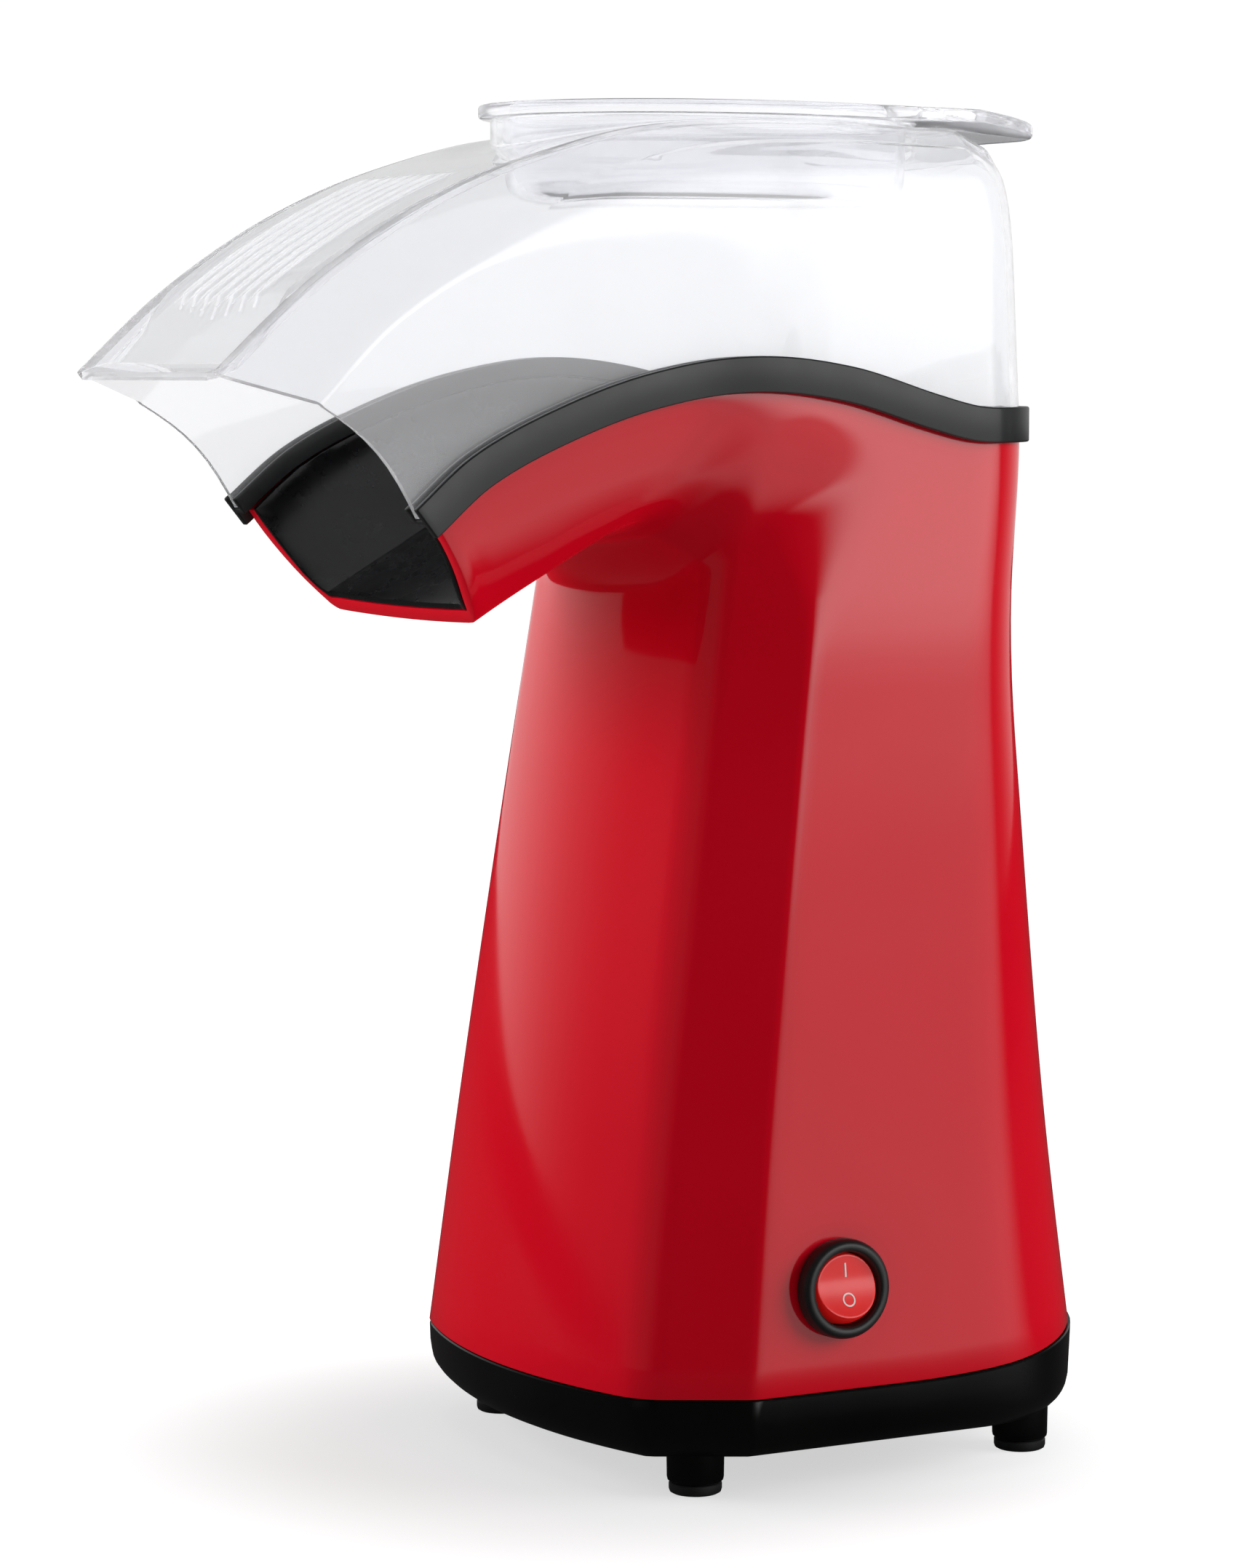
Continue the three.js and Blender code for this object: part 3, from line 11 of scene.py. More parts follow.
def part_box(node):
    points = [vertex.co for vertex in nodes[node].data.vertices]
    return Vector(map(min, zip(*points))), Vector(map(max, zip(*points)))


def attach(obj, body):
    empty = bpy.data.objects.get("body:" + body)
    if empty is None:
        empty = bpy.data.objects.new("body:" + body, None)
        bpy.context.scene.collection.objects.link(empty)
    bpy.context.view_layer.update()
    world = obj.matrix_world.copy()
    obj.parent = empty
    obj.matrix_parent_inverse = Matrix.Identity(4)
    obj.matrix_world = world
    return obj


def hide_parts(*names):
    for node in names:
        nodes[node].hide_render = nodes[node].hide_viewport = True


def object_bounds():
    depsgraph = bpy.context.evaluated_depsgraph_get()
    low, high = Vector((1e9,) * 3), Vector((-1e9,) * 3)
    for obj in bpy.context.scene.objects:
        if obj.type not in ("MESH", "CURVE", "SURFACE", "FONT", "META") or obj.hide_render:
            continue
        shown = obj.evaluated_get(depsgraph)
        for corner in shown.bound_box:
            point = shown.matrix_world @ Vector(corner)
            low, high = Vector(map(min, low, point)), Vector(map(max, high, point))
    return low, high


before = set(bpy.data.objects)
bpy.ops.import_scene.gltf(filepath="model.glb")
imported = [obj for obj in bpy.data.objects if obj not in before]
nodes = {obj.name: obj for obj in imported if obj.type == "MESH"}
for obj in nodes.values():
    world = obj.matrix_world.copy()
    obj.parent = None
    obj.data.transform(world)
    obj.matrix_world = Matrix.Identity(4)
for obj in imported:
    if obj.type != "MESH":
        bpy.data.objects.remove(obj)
cad_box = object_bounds()

# ---- Places ----
# Shapes are worked out in millimetres in the tower's own frame: X right, -Y towards the mouth, Z up, with
# its origin on the table midway between the feet. The popping chamber's axis ties it to the CAD frame.
AXIS_Y = -1.0
low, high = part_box("popping_chamber")
SHIFT = np.array([0.0, (low.y + high.y) * 500 - AXIS_Y, 0.0])


def to_row(points):
    return (np.asarray(points, float) + SHIFT) / 1000


def inside_cad(points):
    """The CAD's facets cut a hair off its widest curves, so points keep to its box."""
    return np.clip(to_row(points), np.array(cad_box[0]), np.array(cad_box[1]))


# ---- Curves ----
def curve_through(points):
    """A smooth function through [value, result] points, straight beyond its ends."""
    xs, ys = np.array(points, float).T
    m = np.empty_like(xs)
    m[1:-1] = (ys[2:] - ys[:-2]) / (xs[2:] - xs[:-2])
    m[0] = (ys[1] - ys[0]) / (xs[1] - xs[0])
    m[-1] = (ys[-1] - ys[-2]) / (xs[-1] - xs[-2])

    def at(x):
        x = np.asarray(x, float)
        i = np.clip(np.searchsorted(xs, x, side="right") - 1, 0, len(xs) - 2)
        w = xs[i + 1] - xs[i]
        t = (x - xs[i]) / w
        tt, ttt = t * t, t * t * t
        mid = (2 * ttt - 3 * tt + 1) * ys[i] + (ttt - 2 * tt + t) * w * m[i]
        mid = mid + (3 * tt - 2 * ttt) * ys[i + 1] + (ttt - tt) * w * m[i + 1]
        below = ys[0] + m[0] * (x - xs[0])
        above = ys[-1] + m[-1] * (x - xs[-1])
        return np.where(x <= xs[0], below, np.where(x >= xs[-1], above, mid))

    return at


def lerp(a, b, t):
    return a + (b - a) * t


def smooth(x, a, b):
    t = np.clip((np.asarray(x, float) - a) / (b - a), 0, 1)
    return t * t * (3 - 2 * t)


def round_max(a, b, r):
    return np.minimum(-r, np.maximum(a, b)) + np.hypot(np.maximum(a + r, 0), np.maximum(b + r, 0))


def round_min(a, b, r):
    return np.maximum(r, np.minimum(a, b)) - np.hypot(np.maximum(r - a, 0), np.maximum(r - b, 0))


# ---- Housing skin ----
SEAM_Z, SEAM_RISE = 27.5, 8.5
FRONT_EDGE_X = curve_through([[27.5, 60.6], [87, 57.4], [143, 54.6], [199, 51.3], [284, 45.5]])
FRONT_EDGE_Y = curve_through([[27.5, -70.9], [87, -63.6], [143, -55.9], [199, -48], [284, -36]])
FRONT_BOW = curve_through([[27.5, 11.5], [230, 8], [290, 8]])
SIDE_EDGE_X = curve_through([[27.5, 75.3], [87, 71.9], [143, 69.1], [199, 65.7], [225, 64.1], [284, 58.6]])
SIDE_EDGE_Y = curve_through([[27.5, -44.8], [87, -38.7], [143, -32], [199, -24.7], [284, -13]])
REAR_Y = curve_through([[27.5, 73.8], [99, 62.8], [170, 54.6], [225, 50.6], [272, 55.4], [290, 55.8]])
REAR_CORNER_R = curve_through([[27.5, 41], [225, 18], [290, 18]])
SIDE_SPREAD, REAR_BOW, FRONT_EDGE_ROUND, SIDE_EDGE_ROUND = 0.025, 2.5, 4.4, 1.2
HOUSING_WALL, LIP_WALL = 2.8, 3.9
NECK_Z = 232.0
LIP_Y, LIP_Z, FLOOR_SLOPE, FLOOR_HALF_WIDTH, FLOOR_SAG = -107.2, 226.8, 0.573, 42.2, 1.2
MOUTH_TOP_Y, MOUTH_TOP_Z = -124.0, 250.2
CHUTE_TOP_HALF_WIDTH = curve_through([[-135, 55], [-35, 57.5], [60, 57.5]])
CHUTE_SIDE_DEPTH, NECK_BLEND = 31.0, 28.0
BAND_EDGE = curve_through([
    [-126.4, 249], [-110.4, 262], [-86.9, 273.2], [-62.9, 280.9], [-36, 284.8],
    [-9.6, 282.3], [16.1, 275.1], [30, 271.9], [44, 271.5], [60, 271.8],
])
BAND_FRONT_Y, BAND_HEIGHT, BAND_PROUD = -126.4, 9.3, 2.6
EDGE_UNDER_WEB, HOOD_FOOT = 3.4, 6.2
SIDE_TOP_Y, MOUTH_SHARE = -14.0, 0.25


def band_slope(y):
    return np.arctan2(BAND_EDGE(y + 0.5) - BAND_EDGE(y - 0.5), 1)


def above_band_edge(y, up):
    slope = band_slope(y)
    return y - np.sin(slope) * up, BAND_EDGE(y) + np.cos(slope) * up


def side_x(y, z):
    spread = SIDE_SPREAD * np.clip(1 - (z - SEAM_Z) / 256, 0, 1)
    return SIDE_EDGE_X(z) + spread * (y - SIDE_EDGE_Y(z))


def skin_level(p):
    """0 on the housing's outer face, negative inside; p is an array of points."""
    ax, y, z = np.abs(p[..., 0]), p[..., 1], p[..., 2]
    ex, ey = FRONT_EDGE_X(z), FRONT_EDGE_Y(z)
    front = ey - FRONT_BOW(z) * (1 - (ax / ex) ** 2) - y
    dx, dy = SIDE_EDGE_X(z) - ex, SIDE_EDGE_Y(z) - ey
    facet = ((ax - ex) * dy - (y - ey) * dx) / np.hypot(dx, dy)
    tower = round_max(front, facet, FRONT_EDGE_ROUND)
    floor_z = LIP_Z + FLOOR_SLOPE * (y - LIP_Y) - FLOOR_SAG * (1 - (ax / FLOOR_HALF_WIDTH) ** 2)
    floor = (floor_z - z) / math.hypot(1, FLOOR_SLOPE)
    depth = np.maximum(0, (BAND_EDGE(y) - z) * np.cos(band_slope(y)))
    closing = (CHUTE_TOP_HALF_WIDTH(y) - FLOOR_HALF_WIDTH) * (depth / CHUTE_SIDE_DEPTH) ** 1.6
    flank = (ax - CHUTE_TOP_HALF_WIDTH(y) + closing) / 1.08
    chute = round_max(floor, flank, 3)
    fade = smooth(z, 222, 262)
    walls = round_max(round_min(tower, chute, NECK_BLEND), ax - side_x(y, z), SIDE_EDGE_ROUND + 8 * fade)
    rear = y - REAR_Y(z) + REAR_BOW * (ax / 50) ** 2
    return round_max(walls, rear, REAR_CORNER_R(z))


def stack(x, y, z):
    return np.stack(np.broadcast_arrays(np.asarray(x, float), np.asarray(y, float), np.asarray(z, float)), -1)


def hit(origin, direction, level=0.0):
    """Where rays that start inside first reach a level."""
    shape = np.broadcast_shapes(origin.shape, np.shape(direction))
    origin = np.broadcast_to(origin, shape)
    direction = np.broadcast_to(direction, shape)
    near = np.zeros(shape[:-1])
    far = np.full(shape[:-1], 3.0)
    for _ in range(60):
        inside = skin_level(origin + direction * far[..., None]) < level
        near = np.where(inside, far, near)
        far = np.where(inside, far + 3, far)
    for _ in range(26):
        mid = (near + far) / 2
        inside = skin_level(origin + direction * mid[..., None]) < level
        near, far = np.where(inside, mid, near), np.where(inside, far, mid)
    return origin + direction * near[..., None]


def skin_normal(p):
    h = 0.02
    n = np.stack([skin_level(p + d) - skin_level(p - d) for d in np.eye(3) * h], -1)
    return n / np.linalg.norm(n, axis=-1, keepdims=True)


def at_level(p, level):
    """Points square behind the outer face on another level, which may differ from point to point."""
    inwards = -skin_normal(p)
    near = np.zeros(p.shape[:-1])
    far = np.maximum(-2 * np.asarray(level, float) + near, 1e-6)
    for _ in range(26):
        mid = (near + far) / 2
        outside = skin_level(p + inwards * mid[..., None]) > level
        near, far = np.where(outside, mid, near), np.where(outside, far, mid)
    return p + inwards * near[..., None]


def rear_corner_y(z):
    return REAR_Y(z) - REAR_CORNER_R(z)


def rear_corner_x(z):
    return side_x(rear_corner_y(z), z) - REAR_CORNER_R(z)


def ease(n, tight):
    """0 to 1 in n steps that crowd towards 1."""
    t = np.linspace(0, 1, n + 1)
    return 1 - (1 - t) ** tight


FRONT_S = ease(14, 1.3)
FLANK_S = np.concatenate([np.linspace(0, 0.25, 9)[1:], 0.25 + 0.75 * ease(26, 1.5)[1:]])
SIDE_S = np.concatenate([[0.01, 0.03], np.linspace(0, 1, 14)[1:]])
CORNER_S = np.linspace(0, 1, 17)[1:]
REAR_S = np.linspace(0, 1, 9)[1:]


def front_points(w, s):
    b = np.array([[-26, NECK_Z], [-28, 262], [-74, 272], [LIP_Y - 8.7, LIP_Z + 12.2]])
    u = 1 - w
    guide = [u**3 * b[0, k] + 3 * u * u * w * b[1, k] + 3 * u * w * w * b[2, k] + w**3 * b[3, k]
             for k in (0, 1)]
    end = math.atan2(LIP_Z - MOUTH_TOP_Z, LIP_Y - MOUTH_TOP_Y) + 2 * math.pi
    turn = lerp(math.pi, end, smooth(w, 0, 1))
    x = s * lerp(float(FRONT_EDGE_X(NECK_Z)), FLOOR_HALF_WIDTH, smooth(w, 0, 1))
    return hit(stack(x, guide[0], guide[1]), stack(0, np.cos(turn), np.sin(turn)))


def between(s, w, left, right, top, left_end, right_end):
    """Side-view nodes: level rows at the foot that bend ever more towards the top edge's own line."""
    return lerp(left, right, s) + w * w * (top - lerp(left_end, right_end, s))


def head_half(w, up):
    """Net of the right half's head: columns by rows by 3."""
    wr = w[None, :]
    front = front_points(wr, FRONT_S[:, None])
    edge = front_points(w, np.ones_like(w))
    corner = front_points(np.array([1.0]), np.array([1.0]))[0]
    mid_y, mid_z = above_band_edge(SIDE_TOP_Y, up)
    middle_z = lerp(NECK_Z, mid_z, w)
    middle_y = lerp(SIDE_EDGE_Y(middle_z), mid_y, w)
    rear_y, rear_z = above_band_edge(float(rear_corner_y(272)), up)
    line_z = lerp(NECK_Z, rear_z, w)
    line_y = lerp(rear_corner_y(line_z), rear_y, w)

    mouth_y, mouth_z = above_band_edge(BAND_FRONT_Y + 2.2, up)
    t = np.minimum(FLANK_S / MOUTH_SHARE, 1)
    run = np.clip((FLANK_S - MOUTH_SHARE) / (1 - MOUTH_SHARE), 0, 1)
    along_y, along_z = above_band_edge(lerp(BAND_FRONT_Y + 2.2, SIDE_TOP_Y, run), up)
    on_mouth = FLANK_S <= MOUTH_SHARE
    top_y = np.where(on_mouth, lerp(corner[1], mouth_y, t), along_y)[:, None]
    top_z = np.where(on_mouth, lerp(corner[2], mouth_z, t), along_z)[:, None]
    s = FLANK_S[:, None]
    y = between(s, wr, edge[None, :, 1], middle_y[None], top_y, corner[1], mid_y)
    z = between(s, wr, edge[None, :, 2], middle_z[None], top_z, corner[2], mid_z)
    flank = hit(stack(0, y, z), np.array([1.0, 0, 0]))

    s = SIDE_S[:, None]
    top_y, top_z = above_band_edge(lerp(SIDE_TOP_Y, float(rear_corner_y(272)), SIDE_S), up)
    y = between(s, wr, middle_y[None], line_y[None], top_y[:, None], mid_y, rear_y)
    z = between(s, wr, middle_z[None], line_z[None], top_z[:, None], mid_z, rear_z)
    side = hit(stack(0, y, z), np.array([1.0, 0, 0]))
    z = lerp(NECK_Z, rear_z, w)[None, :]
    return np.concatenate([front, flank, side, *rear_points(z, line_y[None])])


def rear_points(z, y):
    x = rear_corner_x(z)
    angle = CORNER_S[:, None] * math.pi / 2
    corner = hit(stack(x, y, z), stack(np.cos(angle), np.sin(angle), 0))
    rear = hit(stack(x * (1 - REAR_S[:, None]), y, z), np.array([0, 1.0, 0]))
    return corner, rear


def tower_half(z):
    """Net of the right half at heights z, an array of columns by rows or one row for all."""
    columns = sum(len(s) for s in (FRONT_S, FLANK_S, SIDE_S, CORNER_S, REAR_S))
    z = np.broadcast_to(z, (columns, z.shape[-1]))
    i = np.cumsum([len(FRONT_S), len(FLANK_S), len(SIDE_S), len(CORNER_S)])
    zf, zk, zs, zc, zr = np.split(z, i)
    front = hit(stack(FRONT_S[:, None] * FRONT_EDGE_X(zf), -26, zf), np.array([0, -1.0, 0]))
    edge = hit(stack(FRONT_EDGE_X(zk), -26, zk), np.array([0, -1.0, 0]))[..., 1]
    right = np.array([1.0, 0, 0])
    flank = hit(stack(0, lerp(edge, SIDE_EDGE_Y(zk), FLANK_S[:, None]), zk), right)
    side = hit(stack(0, lerp(SIDE_EDGE_Y(zs), rear_corner_y(zs), SIDE_S[:, None]), zs), right)
    angle = CORNER_S[:, None] * math.pi / 2
    corner = hit(stack(rear_corner_x(zc), rear_corner_y(zc), zc), stack(np.cos(angle), np.sin(angle), 0))
    rear = hit(stack(rear_corner_x(zr) * (1 - REAR_S[:, None]), rear_corner_y(zr), zr), np.array([0, 1.0, 0]))
    return np.concatenate([front, flank, side, corner, rear])


def seam_z(y):
    return SEAM_Z + SEAM_RISE * np.clip(np.asarray(y) / 73, 0, 1) ** 2


def skin_half(head_w, tower_share=None, up=EDGE_UNDER_WEB):
    head = head_half(head_w, up)
    if tower_share is None:
        return head
    z = lerp(SEAM_Z, NECK_Z, tower_share)[None, :]
    first = tower_half(z)
    lifted = z + (seam_z(first[..., 1]) - SEAM_Z) * (1 - tower_share)
    return np.concatenate([tower_half(lifted), head], axis=1)


def all_round(half):
    half = half.copy()
    half[0, ..., 0] = 0
    half[-1, ..., 0] = 0
    mirrored = half[1:-1][::-1] * np.array([-1.0, 1, 1])
    return np.concatenate([half, mirrored])


# ---- Mesh helpers ----
def make(name, points, faces, material, body, smooth_angle=28, bevel=0.0, bevel_angle=48, segments=2):
    """A mesh object from points in millimetres in the tower's frame, riding on a body."""
    mesh = bpy.data.meshes.new(name)
    mesh.from_pydata([tuple(p) for p in inside_cad(points)], [], [tuple(int(i) for i in f) for f in faces])
    obj = bpy.data.objects.new(name, mesh)
    bpy.context.scene.collection.objects.link(obj)
    bm = bmesh.new()
    bm.from_mesh(mesh)
    bmesh.ops.remove_doubles(bm, verts=bm.verts, dist=2e-6)
    bmesh.ops.recalc_face_normals(bm, faces=bm.faces)
    bm.to_mesh(mesh)
    bm.free()
    finish_mesh(obj, material, smooth_angle, bevel, bevel_angle, segments)
    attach(obj, body)
    return obj


def apply_modifiers(obj):
    graph = bpy.context.evaluated_depsgraph_get()
    mesh = bpy.data.meshes.new_from_object(obj.evaluated_get(graph))
    obj.modifiers.clear()
    old = obj.data
    obj.data = mesh
    bpy.data.meshes.remove(old)


def finish_mesh(obj, material, smooth_angle=28, bevel=0.0, bevel_angle=48, segments=2):
    if bevel:
        m = obj.modifiers.new("edge", "BEVEL")
        m.width = bevel / 1000
        m.segments = segments
        m.limit_method = "ANGLE"
        m.angle_limit = math.radians(bevel_angle)
        m.use_clamp_overlap = True
        bpy.context.view_layer.update()
        apply_modifiers(obj)
    mesh = obj.data
    mesh.polygons.foreach_set("use_smooth", [True] * len(mesh.polygons))
    mesh.set_sharp_from_angle(angle=math.radians(smooth_angle))
    mesh.materials.clear()
    mesh.materials.append(material)


def grid_faces(n, m, start=0, closed_n=False, closed_m=False):
    """Quads of an n by m grid stored row after row from index start."""
    out = []
    for i in range(n if closed_n else n - 1):
        for j in range(m if closed_m else m - 1):
            a, b = i * m + j, ((i + 1) % n) * m + j
            c, d = ((i + 1) % n) * m + (j + 1) % m, i * m + (j + 1) % m
            out.append((start + a, start + b, start + c, start + d))
    return out


def ring_shell(name, columns, material, body, **kw):
    """Columns that go right round, each a closed ring of points."""
    n, m = columns.shape[:2]
    return make(name, columns.reshape(-1, 3), grid_faces(n, m, 0, True, True), material, body, **kw)


def cup(name, loops, material, body, open_ends=False, **kw):
    """Loops stacked one after another, closed by a fan at each end."""
    loops = np.asarray(loops)
    k, n = loops.shape[:2]
    points = loops.reshape(-1, 3)
    faces = grid_faces(k, n, 0, False, True)
    if not open_ends:
        points = np.concatenate([points, loops[0].mean(0)[None], loops[-1].mean(0)[None]])
        for j in range(n):
            a = (j + 1) % n
            faces.append((k * n, a, j))
            faces.append((k * n + 1, (k - 1) * n + j, (k - 1) * n + a))
    return make(name, points, faces, material, body, **kw)


def turned(profile, segments=64, axis_xy=(0.0, 0.0)):
    """Loops of a turned piece from a [radius, height] profile that starts and ends on the axis."""
    a = np.linspace(0, 2 * math.pi, segments, endpoint=False)
    return np.array([stack(axis_xy[0] + r * np.cos(a), axis_xy[1] + r * np.sin(a), z) for r, z in profile])


def closed_turned(name, profile, material, body, place, segments, **kw):
    """A turned ring with a closed section."""
    loops = place(turned(profile, segments))
    k, n = loops.shape[:2]
    return make(name, loops.reshape(-1, 3), grid_faces(k, n, 0, True, True), material, body, **kw)


def solid_turned(name, profile, material, body, segments, axis_xy, **kw):
    """A turned solid whose profile's end rings close to the axis."""
    return cup(name, turned(profile, segments, axis_xy), material, body, **kw)


# ---- Materials ----
class Nodes:
    """Small helper to wire a procedural material."""

    def __init__(self, name):
        self.material = bpy.data.materials.new(name)
        self.material.use_nodes = True
        self.tree = self.material.node_tree
        self.shader = self.tree.nodes["Principled BSDF"]
        self.coords = self.tree.nodes.new("ShaderNodeTexCoord").outputs["Object"]

    def set(self, **values):
        for name, value in values.items():
            self.shader.inputs[name.replace("_", " ")].default_value = value

    def link(self, a, b):
        self.tree.links.new(a, b)

    def noise(self, scale, detail=3.0, rough=0.5, stretch=None):
        n = self.tree.nodes.new("ShaderNodeTexNoise")
        n.inputs["Scale"].default_value = scale
        n.inputs["Detail"].default_value = detail
        n.inputs["Roughness"].default_value = rough
        source = self.coords
        if stretch:
            m = self.tree.nodes.new("ShaderNodeMapping")
            m.inputs["Scale"].default_value = stretch
            self.link(source, m.inputs["Vector"])
            source = m.outputs["Vector"]
        self.link(source, n.inputs["Vector"])
        return n.outputs["Fac"]

    def ramp(self, value, stops):
        r = self.tree.nodes.new("ShaderNodeValToRGB")
        e = r.color_ramp.elements
        while len(e) < len(stops):
            e.new(0.5)
        for item, (pos, color) in zip(e, stops):
            item.position = pos
            item.color = (*color, 1) if len(color) == 3 else color
        self.link(value, r.inputs["Fac"])
        return r.outputs["Color"]

    def spread(self, value, low, high):
        m = self.tree.nodes.new("ShaderNodeMapRange")
        m.inputs["From Min"].default_value = 0.3
        m.inputs["From Max"].default_value = 0.7
        m.inputs["To Min"].default_value = low
        m.inputs["To Max"].default_value = high
        self.link(value, m.inputs["Value"])
        return m.outputs["Result"]

    def bump(self, value, distance, strength=1.0, after=None):
        b = self.tree.nodes.new("ShaderNodeBump")
        b.inputs["Distance"].default_value = distance
        b.inputs["Strength"].default_value = strength
        self.link(value, b.inputs["Height"])
        if after is not None:
            self.link(after, b.inputs["Normal"])
        self.link(b.outputs["Normal"], self.shader.inputs["Normal"])
        return b.outputs["Normal"]


def moulded(name, light, dark, rough=(0.3, 0.4), grain=900.0, depth=2e-5, mottling=18.0, **values):
    """Moulded plastic: faint mottling, fine grain and uneven gloss."""
    n = Nodes(name)
    color = n.ramp(n.noise(mottling, 4), [(0.35, dark), (0.65, light)])
    n.link(color, n.shader.inputs["Base Color"])
    n.link(n.spread(n.noise(mottling * 2.3, 5, 0.6), *rough), n.shader.inputs["Roughness"])
    soft = n.bump(n.noise(mottling * 1.7, 2), depth * 4, 0.25)
    n.bump(n.noise(grain, 2, 0.6), depth, 0.6, soft)
    n.set(**values)
    return n.material


def metal(name, light, dark, rough=(0.25, 0.4), stretch=None, grain=260.0):
    n = Nodes(name)
    color = n.ramp(n.noise(grain / 6, 5, 0.6, stretch), [(0.3, dark), (0.7, light)])
    n.link(color, n.shader.inputs["Base Color"])
    n.link(n.spread(n.noise(grain / 3, 4, 0.6, stretch), *rough), n.shader.inputs["Roughness"])
    n.bump(n.noise(grain, 3, 0.6, stretch), 1.5e-5, 0.5)
    n.set(Metallic=1.0)
    return n.material


def clear_plastic(name, tint, rough, **values):
    n = Nodes(name)
    color = n.ramp(n.noise(9, 3), [(0.3, tint), (0.7, tuple(min(1, c + 0.012) for c in tint))])
    n.link(color, n.shader.inputs["Base Color"])
    n.link(n.spread(n.noise(60, 4, 0.6), *rough), n.shader.inputs["Roughness"])
    n.bump(n.noise(22, 2), 1.5e-5, 0.2)
    n.set(**values)
    return n.material


RED = moulded("red_gloss_plastic", (0.7, 0.0026, 0.016), (0.66, 0.002, 0.013), (0.05, 0.1), 1400, 3e-6, 7,
              IOR=1.49)
PAN_BLACK = moulded("base_black_plastic", (0.0014, 0.0014, 0.0014), (0.0008, 0.0008, 0.0008),
                    (0.2, 0.28), 1500, 8e-6, Specular_IOR_Level=0.3)
BAND_BLACK = moulded("band_black_plastic", (0.012, 0.0125, 0.0125), (0.008, 0.0085, 0.0085),
                     (0.32, 0.42), 1700, 1.2e-5)
LINER_BLACK = moulded("liner_black_plastic", (0.0016, 0.0016, 0.0018), (0.0008, 0.0008, 0.001),
                      (0.22, 0.36), 1900, 1.2e-5, 30, Specular_IOR_Level=0.25, Coat_Weight=0.25,
                      Coat_Roughness=0.25)
FITTING_BLACK = moulded("fitting_black_plastic", (0.011, 0.0115, 0.0115), (0.007, 0.0075, 0.0075),
                        (0.36, 0.46), 1800, 1e-5)
RUBBER = moulded("rubber", (0.01, 0.01, 0.01), (0.006, 0.006, 0.006), (0.5, 0.65), 900, 2e-5)
NYLON = moulded("natural_nylon", (0.72, 0.7, 0.64), (0.64, 0.62, 0.56), (0.4, 0.5), 900, 1e-5)
JACKET = moulded("wire_sleeve", (0.78, 0.76, 0.7), (0.7, 0.68, 0.62), (0.45, 0.6), 1500, 2e-5)
MICA = moulded("mica", (0.42, 0.36, 0.26), (0.3, 0.25, 0.17), (0.35, 0.6), 500, 3e-5)
MAGNET = moulded("sintered_magnet", (0.05, 0.05, 0.052), (0.03, 0.03, 0.032), (0.6, 0.75), 2000, 3e-5)
BOARD = moulded("board_laminate", (0.03, 0.12, 0.05), (0.02, 0.08, 0.035), (0.3, 0.45), 700, 1e-5)
ALUMINIUM = metal("drawn_aluminium", (0.78, 0.79, 0.8), (0.66, 0.67, 0.68), (0.25, 0.42), (1, 1, 0.08))
STEEL = metal("plain_steel", (0.5, 0.51, 0.52), (0.38, 0.39, 0.4), (0.3, 0.5))
BRASS = metal("stamped_brass", (0.72, 0.52, 0.24), (0.6, 0.42, 0.18), (0.25, 0.4))
COPPER = metal("winding_copper", (0.62, 0.27, 0.12), (0.46, 0.18, 0.08), (0.25, 0.4), (0.1, 1, 1), 500)
CLEAR = clear_plastic("clear_plastic", (0.93, 0.933, 0.948), (0.01, 0.03), Transmission_Weight=0.88, IOR=1.42,
                      Coat_Weight=0.4, Coat_Roughness=0.02)
RIB_CLEAR = clear_plastic("clear_rib_plastic", (0.93, 0.933, 0.948), (0.02, 0.05),
                          Transmission_Weight=0.6, IOR=1.42)
CLEAR_CAP = clear_plastic("clear_cap_plastic", (0.94, 0.942, 0.965), (0.01, 0.03), Transmission_Weight=0.93,
                          IOR=1.4)


def rocker_with_painted_glow():
    n = Nodes("rocker_red_plastic_painted_glow")
    color = n.ramp(n.noise(120, 3), [(0.3, (0.6, 0.003, 0.004)), (0.7, (0.68, 0.006, 0.007))])
    n.link(color, n.shader.inputs["Base Color"])
    n.link(n.spread(n.noise(300, 3), 0.1, 0.18), n.shader.inputs["Roughness"])
    n.bump(n.noise(500, 2), 1e-5, 0.3)
    # Painted glow: the emission lights the rocker's red as if light came through it, though the rocker holds
    # no lamp.
    n.set(IOR=1.5, Emission_Color=(0.9, 0.015, 0.01, 1), Emission_Strength=0.15)
    return n.material


ROCKER_RED_PAINTED_GLOW = rocker_with_painted_glow()
MARK_WHITE = moulded("mark_white", (0.85, 0.82, 0.8), (0.8, 0.77, 0.75), (0.4, 0.5), 900, 5e-6)


def stand_for(node):
    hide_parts(node)


# ---- Housing, liner and band ----
LINER_RISE = 0.66  # of the liner's top edge over the web of the band
LINER_GAP, LINER_FACE = 0.3, 2.0  # from the housing's inner wall to the liner's two faces
LINER_NECK_R = 37.6


def head_wall(columns_half):
    """Inward offset of the housing's inner wall: it grows to the lip's towards the mouth."""
    near_mouth = smooth(-columns_half[..., 1], 60, 105)
    return -(HOUSING_WALL + (LIP_WALL - HOUSING_WALL) * near_mouth)


def make_housing():
    share = np.linspace(0, 1, 27)[:-1]
    w = np.linspace(0, 1, 46)
    half = skin_half(w, share)
    inner = at_level(half, head_wall(half))
    inner[:, 0, 2] = half[:, 0, 2]
    ring = np.concatenate([half, inner[:, ::-1]], axis=1)
    shell = ring_shell("housing_shell", all_round(ring), RED, "base", bevel=0.45, bevel_angle=55)
    cut_round(shell, switch_place, 10.4, -12, 12)
    cut_round(shell, gland_place, 6.8, -12, 12)
    stand_for("housing")


